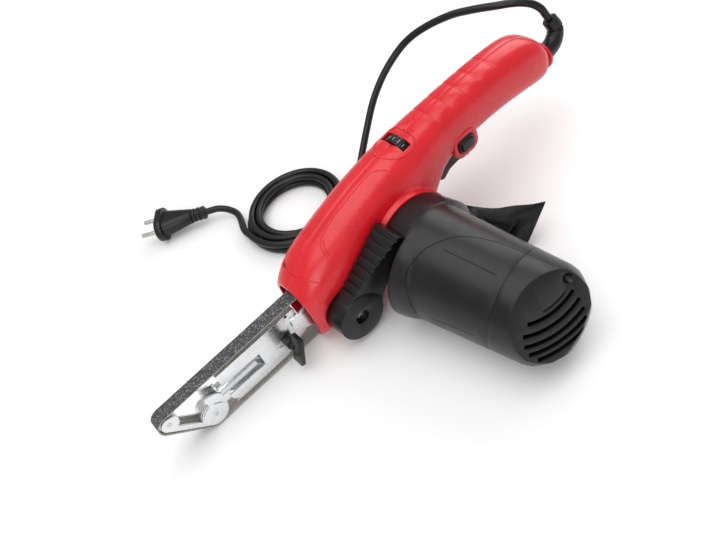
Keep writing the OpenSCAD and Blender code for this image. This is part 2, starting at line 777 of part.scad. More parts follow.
// Place along the rotor axis, turned round it
module round_motor(y, a) translate([motor_x, y, motor_z]) rotate([0, a, 0]) children();
module rotor_shaft() {
    color("silver") bar_y(motor_p, rotor_y0, rotor_y1, rotor_shaft_r);
}
core_slots = 12;
core_slot_w = 2.4;
core_slot_depth = 7;
module armature_core() {
    color([0.45, 0.46, 0.48])
    difference() {
        bar_y(motor_p, armature_y0, armature_y1, armature_r);
        bar_y(motor_p, armature_y0 - over, armature_y1 + over, rotor_shaft_r + seat);
        for (i = [0 : core_slots - 1]) round_motor(armature_y0 - over, 360 * i / core_slots)
            translate([armature_r - core_slot_depth, 0, -core_slot_w / 2])
                cube([core_slot_depth + over, armature_l + 2 * over, core_slot_w]);
    }
}
winding_l = 9;
winding_step = 3;
module armature_windings() {
    color([0.72, 0.4, 0.16]) {
        for (y = [armature_y0 - winding_l, armature_y1 + seat]) tube_y(
            motor_p, y, y + winding_l - seat, armature_r - winding_step, rotor_shaft_r + winding_step);
    }
}
commutator_gap = 12;
commutator_y = armature_y1 + commutator_gap;
commutator_w = 15;
commutator_r = 11;
bar_gap_w = 0.6;
module commutator() {
    color([0.75, 0.45, 0.2])
    difference() {
        bar_y(motor_p, commutator_y, commutator_y + commutator_w, commutator_r);
        bar_y(motor_p, commutator_y - over, commutator_y + commutator_w + over, rotor_shaft_r + seat);
        for (i = [0 : core_slots * 2 - 1]) round_motor(commutator_y - over, 180 * i / core_slots)
            translate([commutator_r - over, 0, -bar_gap_w / 2])
                cube([2 * over, commutator_w + 2 * over, bar_gap_w]);
    }
}
fan_y = 44;
fan_r = 31;
fan_blades = 9;
fan_plate_t = 2;
fan_hub_r = 9;
fan_hub_l = 12;
blade_w = 9;
blade_t = 1.6;
blade_back = 2;
module cooling_fan() {
    color([0.12, 0.12, 0.12])
    difference() {
        union() {
            bar_y(motor_p, fan_y, fan_y + fan_plate_t, fan_r);
            bar_y(motor_p, fan_y, fan_y + fan_hub_l, fan_hub_r);
            for (i = [0 : fan_blades - 1]) round_motor(fan_y + fan_plate_t / 2, 360 * i / fan_blades)
                translate([fan_hub_r - blade_back / 2, 0, -blade_t / 2])
                    cube([fan_r - fan_hub_r - blade_back / 2, blade_w, blade_t]);
        }
        bar_y(motor_p, fan_y - over, fan_y + fan_hub_l + over, rotor_shaft_r + seat);
    }
}
module front_bearing() {
    color("lightgray")
    tube_y(motor_p, front_bearing_y, front_bearing_y + bearing_w, bearing_r, rotor_shaft_r + run_fit);
}
module rear_bearing() {
    color("lightgray")
    tube_y(motor_p, rear_bearing_y, rear_bearing_y + bearing_w, rear_bearing_r, rotor_shaft_r + run_fit);
}
// Flanged bracket between housing and motor, holding the front bearing
bracket_wall = 5;
bracket_r = bearing_r + bracket_wall;
bracket_t = 4;
bracket_gap = 0.2;
bracket_bore = 3;
module bearing_bracket() {
    color([0.62, 0.63, 0.65])
    difference() {
        union() {
            bar_y(motor_p, front_bearing_y - over, seat_y + bracket_t, bracket_r);
            bar_y(motor_p, seat_y + bracket_gap, seat_y + bracket_t, collar_r - motor_wall - bracket_gap);
        }
        bar_y(motor_p, front_bearing_y - seat, front_bearing_y + bearing_w + seat, bearing_r + seat);
        bar_y(motor_p, 0, seat_y + bracket_t + over, rotor_shaft_r + bracket_bore);
    }
}
stator_gap = 2.4;
stator_r = neck_r - motor_wall - stator_gap;
stator_in = 2;
air_gap = 0.8;
coil_slot_w = 26;
coil_slot_depth = 9;
module stator_core() {
    color([0.5, 0.51, 0.53])
    difference() {
        bar_y(motor_p, armature_y0 + stator_in, armature_y1 - stator_in, stator_r);
        bar_y(motor_p, armature_y0, armature_y1, armature_r + air_gap);
        for (s = [0, 180]) round_motor(armature_y0, s) translate([armature_r - stator_in, 0, -coil_slot_w / 2])
            cube([coil_slot_depth, armature_l, coil_slot_w]);
    }
}
field_w = 24.8;
field_t = 5;
field_over = 4;
field_side = 5.4;
field_end = 6;
field_gap = 1.2;
module field_coils() {
    color([0.72, 0.4, 0.16])
    for (s = [0, 180]) round_motor(armature_y0 - field_over, s) difference() {
        translate([armature_r + field_gap, 0, -field_w / 2])
            cube([field_t, armature_l + 2 * field_over, field_w]);
        translate([armature_r, field_end, field_side - field_w / 2])
            cube([2 * field_t, armature_l + 2 * field_over - 2 * field_end, field_w - 2 * field_side]);
    }
}
brush_y = commutator_y + commutator_w / 2;
holder_w = 9;
holder_l = 22.2;
holder_gap = 2.4;
brush_w = 6;
brush_l = 16;
brush_gap = 0.1;
module brush_holders() {
    color([0.8, 0.66, 0.3])
    for (s = [0, 180]) round_motor(brush_y, s) difference() {
        translate([-holder_w / 2, -holder_w / 2, commutator_r + holder_gap])
            cube([holder_w, holder_w, holder_l]);
        translate([-brush_w / 2 - brush_gap, -brush_w / 2 - brush_gap, commutator_r + over])
            cube([brush_w + 2 * brush_gap, brush_w + 2 * brush_gap, holder_l]);
    }
}
module carbon_brushes() {
    color([0.15, 0.15, 0.15])
    for (s = [0, 180]) round_motor(brush_y, s)
        translate([-brush_w / 2, -brush_w / 2, commutator_r + near]) cube([brush_w, brush_w, brush_l]);
}

// Dust outlet at the lower rear of the collar, and its fabric bag
port_z = 30;
port_y = 54;
port_r = 15;
port_wall = 2.2;
port_lip_l = 3;
port_lip = 1.2;
port_in = 36;
port_out = 48;
port_x0 = motor_x - port_in;
port_x1 = motor_x - port_out;
module dust_port() {
    color([0.14, 0.14, 0.15])
    difference() {
        union() {
            bar_x([port_y, port_z], port_x1, port_x0, port_r - port_lip);
            bar_x([port_y, port_z], port_x1, port_x1 + port_lip_l, port_r);
        }
        bar_x([port_y, port_z], port_x1 - over, port_x0 + over, port_r - port_lip - port_wall);
        turned_y(motor_p) polygon(collar_outline(-bracket_gap, over, collar_rim_r));
    }
}
// Bag sections: place behind the port, half height, half width, middle height, side place and rise of
// the outer corner, as shares of the bag's length, height, width, height, side reach and height
bag_l = 47;
bag_side = 18;
bag_h = 40;
bag_w = 54;
bag_shares = [
    [0.00, 0.36, 0.27, 0.75, 0.00, 0.00], [0.08, 0.39, 0.30, 0.74, 0.03, 0.00],
    [0.22, 0.47, 0.41, 0.57, 0.22, 0.02], [0.42, 0.47, 0.48, 0.51, 0.55, 0.06],
    [0.62, 0.43, 0.48, 0.48, 0.75, 0.12], [0.80, 0.34, 0.43, 0.46, 0.90, 0.20],
    [0.94, 0.20, 0.37, 0.45, 1.00, 0.28], [1.00, 0.07, 0.33, 0.45, 1.00, 0.31]
];
bag_n = 24;
function bag_ring(s) = [for (i = [0 : bag_n - 1]) let (a = 360 * i / bag_n) [
    port_x1 - seat - s[0] * bag_l, port_y + s[4] * bag_side + s[2] * bag_w * cos(a),
    bag_h * (s[3] + s[1] * sin(a) + s[5] * cos(a))]];
module dust_bag() {
    color([0.07, 0.07, 0.08]) loft([for (s = bag_shares) bag_ring(s)]);
}

// Arm: two cheeks with a pocket, joined by a web, and the swivel ring round the bearing sleeve
arm_top_drop = 1.4;
arm_top_z = tip_z + tip_r - arm_top_drop;
arm_low_z = 6;
arm_shares = [[0, 0.24], [0.30, 0.02], [0.93, 0.02], [1, 0.16], [1, 0.97], [0, 0.97]];
function arm_point(s) =
    [arm_back_x + s[0] * (nose_split_x - arm_back_x), arm_low_z + s[1] * (arm_top_z - arm_low_z)];
pocket_lead = 6;
pocket_x0 = rod_back_x + pocket_lead;
pocket_low = 8;
pocket_h = 15;
eye_p = [45, arm_top_z - 2 * cheek_t];
eye_r = 1.5;
module arm_side() {
    difference() {
        polygon([for (s = arm_shares) arm_point(s)]);
        translate([pocket_x0, rod_z - pocket_low]) square([nose_split_x + over - pocket_x0, pocket_h]);
        translate(eye_p) circle(r = eye_r);
    }
}
web_top = 1.4;
web_low = 3;
swivel_foot_r = 9;
swivel_foot_rise = 4;
foot_l = 8;
foot_low = 2;
foot_rise = 12;
module arm_frame() {
    color([0.78, 0.79, 0.8])
    difference() {
        union() {
            plate_y(arm_half, arm_out_y) arm_side();
            plate_y(-arm_out_y, -arm_half) arm_side();
            box_between(
                [arm_back_x, -arm_half, arm_top_z - web_low], [nose_split_x, arm_half, arm_top_z - web_top]);
            box_between([arm_back_x, -arm_half, rod_z - pocket_low], [pocket_x0, arm_half, rod_z + pocket_low]);
            plate_y(swivel_plate_y, swivel_plate_y + cheek_t) difference() {
                polygon(pair_outline(
                    drive_p, carrier_r + swivel_ring_w, [arm_back_x, drive_z + swivel_foot_rise], swivel_foot_r));
                translate(drive_p) circle(r = carrier_r + run_fit);
            }
            box_between(
                [arm_back_x, arm_half, drive_z - foot_low],
                [arm_back_x + foot_l, swivel_plate_y + cheek_t, drive_z + foot_rise]);
        }
        bar_x([0, rod_z], arm_back_x - over, pocket_x0 + over, stem_r + run_fit);
        bar_x([0, rod_z], spring_x0, pocket_x0 + over, spring_r + 2 * spring_wire_r);
        bar_y([wing_x, wing_z], 0, body_w, pin_small_r + screw_gap);
    }
}
// Stamped lower rail with two windows
rail_z = 4;
rail_t = 2;
rail_short = 1;
window_l = 11;
window_at = [5, 20];
window_side = 2;
module arm_rail() {
    color([0.72, 0.73, 0.74])
    difference() {
        box_between([pocket_x0, -arm_half, rail_z], [nose_split_x - rail_short, arm_half, rail_z + rail_t]);
        for (x = window_at) box_between(
            [pocket_x0 + x, window_side - arm_half, rail_z - over],
            [pocket_x0 + x + window_l, arm_half - window_side, rail_z + rail_t + over]);
    }
}

module belt_loop(a) polygon(belt_outline([drive_p, idler_p, tip_p], [drive_r + a, idler_r + a, tip_r + a]));
module abrasive_belt() {
    color([0.25, 0.25, 0.26])
    plate_y(-belt_w / 2, belt_w / 2) difference() {
        belt_loop(belt_add);
        belt_loop(near);
    }
}

// Sliding nose: a fork round the two rollers with a round tail in the arm and a disc over the idler pin
rod_travel = 4;
nose_back_x = nose_split_x + rod_travel + free;
nose_bridge_t = 2.2;
nose_tail_r = 7.6;
nose_cheek_step = 1.6;
nose_root_step = 0.8;
nose_cheek_r = tip_r - nose_cheek_step;
nose_root_r = idler_r - nose_root_step;
disc_r = nose_root_r - nose_root_step;
disc_t = 1;
bridge_low = 4.5;
bridge_rise = 6;
module nose_side() {
    polygon(belt_outline(
        [[nose_back_x + nose_tail_r, rod_z], idler_p, tip_p], [nose_tail_r, nose_root_r, nose_cheek_r]));
}
roller_w = arm_gap_w - 2 * rim_gap;
// Deep notch in each cheek between the tip's eye and the disc, above a lower strip
tip_land = 1.2;
notch_rise = 4.5;
nose_dir = (tip_p - idler_p) / norm(tip_p - idler_p);
module nose_notch() {
    difference() {
        translate(notch_rise * [-nose_dir[1], nose_dir[0]]) nose_side();
        translate(tip_p) circle(r = nose_cheek_r + tip_land);
        translate(idler_p) circle(r = disc_r + tip_land);
    }
}
module nose_fork() {
    color([0.8, 0.81, 0.82])
    difference() {
        union() {
            plate_y(arm_half, arm_out_y) nose_side();
            plate_y(-arm_out_y, -arm_half) nose_side();
            bar_y(idler_p, arm_half, arm_out_y + disc_t, disc_r);
            box_between(
                [nose_back_x, -arm_half, rod_z - bridge_low],
                [nose_back_x + nose_bridge_t, arm_half, rod_z + bridge_rise]);
        }
        plate_y(-arm_out_y - over, arm_out_y + over) intersection() {
            nose_notch();
            translate([idler_x, 0]) square([tip_x - idler_x, tip_z + tip_r]);
        }
        for (p = [tip_p, idler_p]) bar_y(p, -body_w, body_w, pin_small_r + seat);
        bar_x([0, rod_z], nose_back_x - over, nose_back_x + nose_bridge_t + over, rod_r / 2 + seat);
    }
}
plunger_lead = 1;
stem_back = 4;
plunger_x0 = pocket_x0 + rod_travel + plunger_lead;
module plunger_rod() {
    color([0.7, 0.71, 0.72]) {
        bar_x([0, rod_z], arm_back_x + rod_travel + stem_back, plunger_x0, stem_r);
        bar_x([0, rod_z], plunger_x0, nose_back_x, rod_r);
        bar_x([0, rod_z], nose_back_x, nose_back_x + nose_bridge_t, rod_r / 2);
    }
}
// Closed coil spring round the plunger, from a formula
spring_gap = 0.4;
spring_back = 24;
spring_r = stem_r + spring_wire_r + spring_gap;
spring_x0 = pocket_x0 - spring_back;
spring_l = plunger_x0 - near - spring_x0;
spring_steps = 8;
spring_sides = 6;
function spring_ring(i) =
    let (a = 360 * i / spring_steps, t = i / (spring_steps * spring_turns))
    let (x = spring_x0 + spring_wire_r + (spring_l - 2 * spring_wire_r) * t)
    [for (j = [0 : spring_sides - 1]) let (b = 360 * j / spring_sides, r = spring_r + spring_wire_r * cos(b))
        [x + spring_wire_r * sin(b), r * cos(a), rod_z + r * sin(a)]];
module tension_spring() {
    color("silver") loft([for (i = [0 : spring_steps * spring_turns]) spring_ring(i)]);
}

module roller(p, r) {
    tube_y(p, -roller_w / 2, roller_w / 2, r, pin_small_r + run_fit);
}
module tip_roller() { color([0.55, 0.56, 0.58]) roller(tip_p, tip_r); }
module idler_roller() { color([0.82, 0.83, 0.84]) roller(idler_p, idler_r); }
module tip_pin() { color("silver") bar_y(tip_p, -arm_out_y - near, arm_out_y + near, pin_small_r); }
module idler_pin() {
    color("silver") bar_y(idler_p, -arm_out_y - near, arm_out_y + disc_t + near, pin_small_r);
}

// Wing screw: threaded shank, barrel, neck and a flat paddle
wing_x = 54;
wing_z = 23;
wing_gap = 0.4;
wing_y = arm_out_y + wing_gap;
wing_r = 5;
wing_barrel_l = 8;
wing_neck_l = 4;
wing_neck_step = 1.4;
shank_in = 2;
paddle_l = 27;
paddle_w = 12;
paddle_t = 4;
paddle_lap = 2;
paddle_turn = -20;
module wing_screw() {
    color([0.1, 0.1, 0.11]) {
        bar_y([wing_x, wing_z], arm_half - shank_in, wing_y, pin_small_r);
        bar_y([wing_x, wing_z], wing_y, wing_y + wing_barrel_l, wing_r);
        bar_y(
            [wing_x, wing_z], wing_y + wing_barrel_l, wing_y + wing_barrel_l + wing_neck_l, wing_r - wing_neck_step);
        translate([wing_x, wing_y + wing_barrel_l + paddle_lap, wing_z]) rotate([0, paddle_turn, 0])
            translate([-paddle_t / 2, 0, -paddle_l / 2]) cube([paddle_t, paddle_w, paddle_l]);
    }
}

// Swivel lever: round hub with a screw well, and a ribbed thumb arm that lies beside the motor collar
lever_end = lever_l * [cos(lever_angle), sin(lever_angle)];
lever_across = [sin(lever_angle), -cos(lever_angle)];
lever_top_gap = 2.6;
lever_rib_n = 7;
lever_rib = 1.8;
rib_first_share = 0.26;
rib_run_share = 0.68;
rib_gap_share = 0.034;
lever_root_share = 0.9;
function lever_top(t) =
    drive_p + (hub_r * lever_across) * (1 - t) + (lever_end + lever_top_gap * lever_across) * t;
function rib_gap(t) = [
    lever_top(t), lever_top(t) - lever_rib * lever_across,
    lever_top(t + rib_gap_share) - lever_rib * lever_across, lever_top(t + rib_gap_share)];
module lever_profile() {
    difference() {
        polygon(concat(
            [drive_p, lever_top(0)],
            [for (i = [0 : lever_rib_n]) each rib_gap(rib_first_share + rib_run_share * i / lever_rib_n)],
            [lever_top(1), drive_p + lever_end - lever_w / 2 * lever_across],
            [drive_p - hub_r * lever_across * lever_root_share]
        ));
        translate(motor_p) circle(r = collar_rim_r + lever_gap);
    }
}
// Space that the thumb arm fills: a step behind the hub's face at its root, and wider towards its end
lever_step = 0.8;
lever_root_y = hub_face_y - lever_step;
lever_root_l = hub_r * lever_root_share;
lever_flare_share = (lever_out_y - lever_root_y) / (lever_l - lever_root_l);
module lever_flare() {
    translate([drive_p[0], 0, drive_p[1]]) rotate([0, -lever_angle, 0])
        linear_extrude(2 * lever_l, center = true) polygon([
            [-lever_l, 0], [-lever_l, lever_root_y], [lever_root_l, lever_root_y],
            [2 * lever_l, lever_root_y + lever_flare_share * (2 * lever_l - lever_root_l)], [2 * lever_l, 0]
        ]);
}
module swivel_lever() {
    color([0.13, 0.13, 0.14])
    difference() {
        union() {
            bar_y(drive_p, hub_y0 + near, hub_face_y, hub_r);
            intersection() {
                plate_y(body_w / 2 + lever_gap / 2, lever_out_y + lever_w) lever_profile();
                lever_flare();
            }
        }
        bar_y(drive_p, 0, hub_face_y - hub_hole_depth + over, stud_r + run_fit);
        bar_y(drive_p, hub_face_y - hub_hole_depth, hub_face_y + over, hub_hole_r);
    }
}
module lever_stud() {
    color("silver") bar_y(drive_p, hub_y0 - near, hub_face_y - hub_hole_depth + near, stud_r);
}
lever_screw_gap = 0.4;
lever_screw_t = 4;
hex_depth = 2;
hex_r = 2.5;
module lever_screw() {
    color([0.3, 0.3, 0.32])
    difference() {
        bar_y(
            drive_p, hub_face_y - hub_hole_depth + lever_screw_gap,
            hub_face_y - hub_hole_depth + lever_screw_t, hub_hole_r - free);
        bar_y(drive_p, hub_face_y - hub_hole_depth + hex_depth, hub_face_y, hex_r, $fn = 6);
    }
}

// Trigger paddle under the handle, on a cross pin at its front
trigger_shares = [
    [0.5, 0.3], [0.485, -0.45], [0.44, -0.98], [0.34, -1.06], [0.12, -0.78], [-0.14, -0.72],
    [-0.36, -0.76], [-0.5, -0.9], [-0.46, 0.2], [0.3, 0.55], [0.44, 0.5]
];
module trigger() {
    color([0.12, 0.12, 0.13])
    difference() {
        plate_y(-trigger_w / 2, trigger_w / 2)
            polygon([for (s = trigger_shares) [trigger_x + s[0] * trigger_l, trigger_z + s[1] * trigger_t]]);
        bar_y(trigger_pivot, -body_w, body_w, trigger_pin_r + run_fit);
    }
}
module trigger_pin() {
    color("silver") bar_y(trigger_pivot, -trigger_pin_half, trigger_pin_half, trigger_pin_r);
}
spring_foot_x = 9;
spring_foot_z = 6.9;
spring_h = 2.8;
trigger_spring_r = 2.6;
module trigger_spring() {
    color("silver") translate([trigger_x - spring_foot_x, 0, trigger_z + spring_foot_z])
        cylinder(h = spring_h, r = trigger_spring_r);
}
switch_back = 17;
switch_ahead = 3;
switch_half = 6.8;
switch_low = 10;
switch_h = 16;
module switch_body() {
    color([0.1, 0.1, 0.1])
    box_between(
        [trigger_x - switch_back, -switch_half, trigger_z + switch_low],
        [trigger_x + switch_ahead, switch_half, trigger_z + switch_low + switch_h]);
}
button_step = 2.4;
button_inset = 4;
button_stand = 0.9;
module lock_button() {
    color([0.12, 0.12, 0.13])
    translate([0, button_face_y + button_stand, 0]) {
        plate_y(-button_t, 0) translate(button_p) round_box(button_l, button_h, button_round);
        plate_y(0, button_step) translate(button_p)
            round_box(button_l - button_inset, button_h - button_inset, button_round / 2);
    }
}

// Speed dial across the handle's top, on a small control board
dial_ribs = 24;
dial_rib_w = 1;
dial_rib_depth = 0.5;
module speed_dial() {
    color([0.1, 0.1, 0.1])
    difference() {
        bar_x([0, dial_z], dial_x - dial_w / 2, dial_x + dial_w / 2, dial_r);
        bar_x([0, dial_z], dial_x - dial_w, dial_x + dial_w, dial_shaft_r + run_fit);
        for (i = [0 : dial_ribs - 1]) translate([dial_x, 0, dial_z]) rotate([360 * i / dial_ribs, 0, 0])
            translate([-dial_w, dial_r - dial_rib_depth, -dial_rib_w / 2])
                cube([dial_w * 2, dial_rib_depth + over, dial_rib_w]);
    }
}
board_back = 4.5;
board_t = 1.6;
board_half = 12;
board_low = 24;
board_rise = 3.4;
board_x = dial_x - dial_w / 2 - board_back;
module speed_board() {
    color([0.1, 0.35, 0.2]) {
        box_between(
            [board_x, -board_half, dial_z - board_low], [board_x + board_t, board_half, dial_z + board_rise]);
        bar_x([0, dial_z], board_x + board_t, board_x + board_t + dial_w + stem_r, dial_shaft_r);
    }
}

// Cord clamp inside the handle's end, and the bent sleeve
clamp_in = 17;
clamp_l = 8;
clamp_half = 5;
clamp_gap = 0.5;
clamp_t = 3;
clamp_x = rear_x + clamp_in;
clamp_z = belly_at((body_l - clamp_in - clamp_l) / body_l) + wall + clamp_gap;
module cord_clamp() {
    color([0.2, 0.2, 0.2])
    box_between([clamp_x, -clamp_half, clamp_z], [clamp_x + clamp_l, clamp_half, clamp_z + clamp_t]);
}

// A tube swept along points, with rings square to the path
side_lean_share = 0.001;
function path_side(p, i) =
    let (a = p[max(0, i - 1)], b = p[min(len(p) - 1, i + 1)], d = unit(b - a))
    let (s = unit(cross(d, [side_lean_share, 0, 1])))
    [s, cross(s, d)];
function path_ring(p, i, r, n) = let (f = path_side(p, i))
    [for (j = [0 : n - 1]) let (a = 360 * j / n) p[i] + r * (cos(a) * f[0] + sin(a) * f[1])];
module swept(p, r, n) loft([for (i = [0 : len(p) - 1]) path_ring(p, i, r[min(i, len(r) - 1)], n)]);

cord_r = cord_d / 2;
cord_sides = 10;
sleeve_sides = 12;
sleeve_r = 8.6;
sleeve_taper = 1.6;
sleeve_points = smooth(sleeve_route, 3);
sleeve_n = len(sleeve_points) - 1;
sleeve_radii = [for (i = [0 : sleeve_n]) sleeve_r - sleeve_taper * i / sleeve_n];
module strain_relief() {
    color([0.2, 0.2, 0.21])
    swept(sleeve_points, sleeve_radii, sleeve_sides);
}
module cord_lead() { color([0.06, 0.06, 0.06]) swept(smooth(lead_route, 2), [cord_r], cord_sides); }
module cord_tail() { color([0.06, 0.06, 0.06]) swept(smooth(tail_route, 2), [cord_r], cord_sides); }

// Coil: spirals in on the floor, climbs a layer where it turns, and spirals out again on top
function step_up(t) = t <= 0 ? 0 : t >= 1 ? 1 : t * t * (3 - 2 * t);
coil_inner_r = coil_r - coil_pitch * coil_turns / 2;
function coil_at(s) =
    let (t = s - coil_turns / 2, r = coil_inner_r + coil_pitch * abs(t), a = 90 - 360 * s)
    [coil_c[0] + r * cos(a), coil_c[1] + r * sin(a), coil_z + coil_lift * step_up(t * 2 + 0.5)];
coil_mid = [for (i = [0 : coil_rings * coil_turns]) coil_at(i / coil_rings)];
coil_start = [coil_mid[0] - [cord_d, 0, 0]];
coil_end = [coil_mid[len(coil_mid) - 1] - [0, cord_d, 0]];
coil_points = concat(coil_start, coil_mid, coil_end);
coil_sides = 6;
module cord_coil() { color([0.06, 0.06, 0.06]) swept(coil_points, [cord_r], coil_sides); }
coil_near = coil_rings / 2;
coil_n = len(coil_mid) - 1;
coil_gaps = [for (i = [0 : coil_n]) for (j = [i + coil_near : 1 : coil_n]) norm(coil_mid[i] - coil_mid[j])];
echo(coil_least_gap = min(coil_gaps) - cord_d);
echo(trigger_pivot = trigger_pivot, dial_axis = [dial_x, dial_z], motor_axis = motor_p);

// Plug: ringed boot, grip that widens to an oval flange, and two round pins
plug_h = 25.6;
plug_w = 39;
plug_body_l = 38;
plug_flange_t = 7;
grip_w = 31;
grip_h = 18;
grip_end_w = 15;
grip_end_h = 13.6;
grip_lip = 1.2;
boot_l = 16;
boot_wall = 1.4;
boot_flare = 0.6;
boot_end_r = cord_r + boot_wall + boot_flare;
boot_rib = 1.5;
boot_rib_w = 3;
boot_rib_n = 3;
boot_rib_step = 5.2;
boot_rib_x = 1.4;
plug_face_x = boot_l + plug_body_l;
flange_x = plug_face_x - plug_flange_t;
pin_root_l = 9;
pin_root_step = 0.4;
pin_root_r = pin_r - pin_root_step;
module in_plug() translate(plug_p) rotate([0, 0, plug_turn]) children();
module plug_body() {
    color([0.08, 0.08, 0.08])
    in_plug() difference() {
        union() {
            rotate([0, 90, 0]) cylinder(h = boot_l, r1 = cord_r + boot_wall, r2 = boot_end_r);
            for (i = [0 : boot_rib_n - 1]) let (x = boot_rib_x + boot_rib_step * i)
                bar_x([0, 0], x, x + boot_rib_w, boot_end_r + boot_rib);
            hull() {
                plate_x(boot_l, boot_l + grip_lip) stadium(grip_end_w, grip_end_h);
                plate_x(flange_x - grip_lip, flange_x) stadium(grip_w, grip_h);
            }
            plate_x(flange_x, plug_face_x) stadium(plug_w, plug_h);
        }
        for (s = [-1, 1])
            bar_x([s * pin_spacing / 2, 0], plug_face_x - pin_root_l, plug_face_x + over, pin_root_r + seat);
    }
}
module plug_pins() {
    color("silver")
    in_plug() for (s = [-1, 1]) {
        bar_x([s * pin_spacing / 2, 0], plug_face_x, plug_face_x + pin_l, pin_r);
        bar_x([s * pin_spacing / 2, 0], plug_face_x - pin_root_l, plug_face_x, pin_root_r);
    }
}

// Fasteners
module housing_screws() {
    color("silver")
    for (p = screw_p) {
        bar_y(p, -screw_reach, screw_reach, screw_r);
        bar_y(p, -screw_reach - screw_head_t, -screw_reach, screw_head_r);
    }
}
module end_cap_screws() {
    color("silver")
    in_barrel() for (p = cap_screw_p) {
        bar_y(p, cap_post_s, cap_head_s, cap_screw_r);
        bar_y(p, cap_head_s, cap_head_s + cap_head_t, cap_head_r);
    }
}
module cover_screws() {
    color("silver")
    for (p = cover_screw_p) bar_y(p, cover_face_y + near, cover_face_y + cover_t + cover_lap, screw_r);
}

// The drive axis stands here in the part's own frame
module in_frame() translate([-mid_x, -mid_y, 0]) children();

in_frame() housing_left();
in_frame() housing_right();
in_frame() belt_cover();
in_frame() motor_housing();
in_frame() motor_end_cap();
in_frame() bearing_carrier();
in_frame() cover_bearing_seat();
in_frame() drive_bearings();
in_frame() drive_shaft();
in_frame() drive_wheel();
in_frame() driven_pulley();
in_frame() timing_belt();
in_frame() motor_pulley();
in_frame() rotor_shaft();
in_frame() armature_core();
in_frame() armature_windings();
in_frame() commutator();
in_frame() cooling_fan();
in_frame() front_bearing();
in_frame() rear_bearing();
in_frame() bearing_bracket();
in_frame() stator_core();
in_frame() field_coils();
in_frame() brush_holders();
in_frame() carbon_brushes();
in_frame() dust_port();
in_frame() dust_bag();
in_frame() arm_frame();
in_frame() arm_rail();
in_frame() abrasive_belt();
in_frame() nose_fork();
in_frame() plunger_rod();
in_frame() tension_spring();
in_frame() tip_roller();
in_frame() tip_pin();
in_frame() idler_roller();
in_frame() idler_pin();
in_frame() wing_screw();
in_frame() swivel_lever();
in_frame() lever_stud();
in_frame() lever_screw();
in_frame() trigger();
in_frame() trigger_pin();
in_frame() trigger_spring();
in_frame() lock_button();
in_frame() switch_body();
in_frame() speed_dial();
in_frame() speed_board();
in_frame() cord_clamp();
in_frame() strain_relief();
in_frame() cord_lead();
in_frame() cord_coil();
in_frame() cord_tail();
in_frame() plug_body();
in_frame() plug_pins();
in_frame() housing_screws();
in_frame() end_cap_screws();
in_frame() cover_screws();
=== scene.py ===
# %% [markdown]
# # A power file, dressed for its portrait
# The solids of this tool come from its CAD source, already packed as one fixed frame of named nodes.
# This lesson keeps every solid where it is and gives it what a photograph shows: rounded moulding edges,
# grained plastic, plated metal, grit on the belt, a slack cloth bag and a rubber cord.
# Everything is in metres, with the belt's arm along +X and the motor along +Y.

# %% Load the frame
import json
import math

import bpy
from mathutils import Matrix, Vector

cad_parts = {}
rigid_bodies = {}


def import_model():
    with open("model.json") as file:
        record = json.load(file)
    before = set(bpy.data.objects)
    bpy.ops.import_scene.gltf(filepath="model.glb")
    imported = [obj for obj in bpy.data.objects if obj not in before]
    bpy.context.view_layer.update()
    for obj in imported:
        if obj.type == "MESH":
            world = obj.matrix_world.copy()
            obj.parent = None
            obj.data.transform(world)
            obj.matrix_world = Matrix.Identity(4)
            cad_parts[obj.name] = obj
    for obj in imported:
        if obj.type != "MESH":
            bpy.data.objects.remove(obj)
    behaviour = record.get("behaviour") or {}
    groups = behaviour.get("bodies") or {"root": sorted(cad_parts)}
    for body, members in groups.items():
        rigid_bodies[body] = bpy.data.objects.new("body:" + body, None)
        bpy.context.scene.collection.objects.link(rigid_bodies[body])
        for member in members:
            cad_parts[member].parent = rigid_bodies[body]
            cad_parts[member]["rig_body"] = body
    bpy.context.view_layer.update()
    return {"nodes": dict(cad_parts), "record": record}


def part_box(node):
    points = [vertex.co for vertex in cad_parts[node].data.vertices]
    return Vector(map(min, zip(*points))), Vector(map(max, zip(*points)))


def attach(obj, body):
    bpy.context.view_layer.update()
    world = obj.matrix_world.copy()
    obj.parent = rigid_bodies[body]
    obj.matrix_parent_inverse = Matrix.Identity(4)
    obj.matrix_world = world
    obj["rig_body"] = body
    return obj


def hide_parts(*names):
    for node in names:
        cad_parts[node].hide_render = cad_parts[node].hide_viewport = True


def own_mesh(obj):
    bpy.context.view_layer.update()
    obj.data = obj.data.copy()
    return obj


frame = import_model()
scene = bpy.context.scene
scene.view_settings.view_transform = "Standard"
print("nodes in the frame:", len(frame["nodes"]))

# %% [markdown]
# ## The camera
# The photograph was taken from the tool's left front, looking down on it. A camera can be placed by eye,
# or from a fit of known points. The fit gave the three directions of the picture and the place of the lens,
# so those numbers are written here and turned into the camera's matrix.

# %% Photo camera
PHOTO_W = 716
FOCAL_PIXELS = 702.74
SENSOR = 36.0
picture_right = Vector((-0.719, 0.625, -0.304)).normalized()
picture_forward = Vector((-0.241, -0.634, -0.735)).normalized()
picture_up = picture_right.cross(picture_forward).normalized()
picture_right = picture_forward.cross(picture_up).normalized()
lens_place = Vector((0.1681, 0.3074, 0.4674))

camera_data = bpy.data.cameras.new("photo_camera")
camera_data.sensor_fit = "HORIZONTAL"
camera_data.sensor_width = SENSOR
camera_data.lens = SENSOR * FOCAL_PIXELS / PHOTO_W
camera_data.clip_start = 0.01
camera = bpy.data.objects.new("photo_camera", camera_data)
scene.collection.objects.link(camera)
turn = Matrix((picture_right, picture_up, -picture_forward)).transposed().to_4x4()
camera.matrix_world = Matrix.Translation(lens_place) @ turn
scene.camera = camera
print("lens %.2f mm" % camera_data.lens)
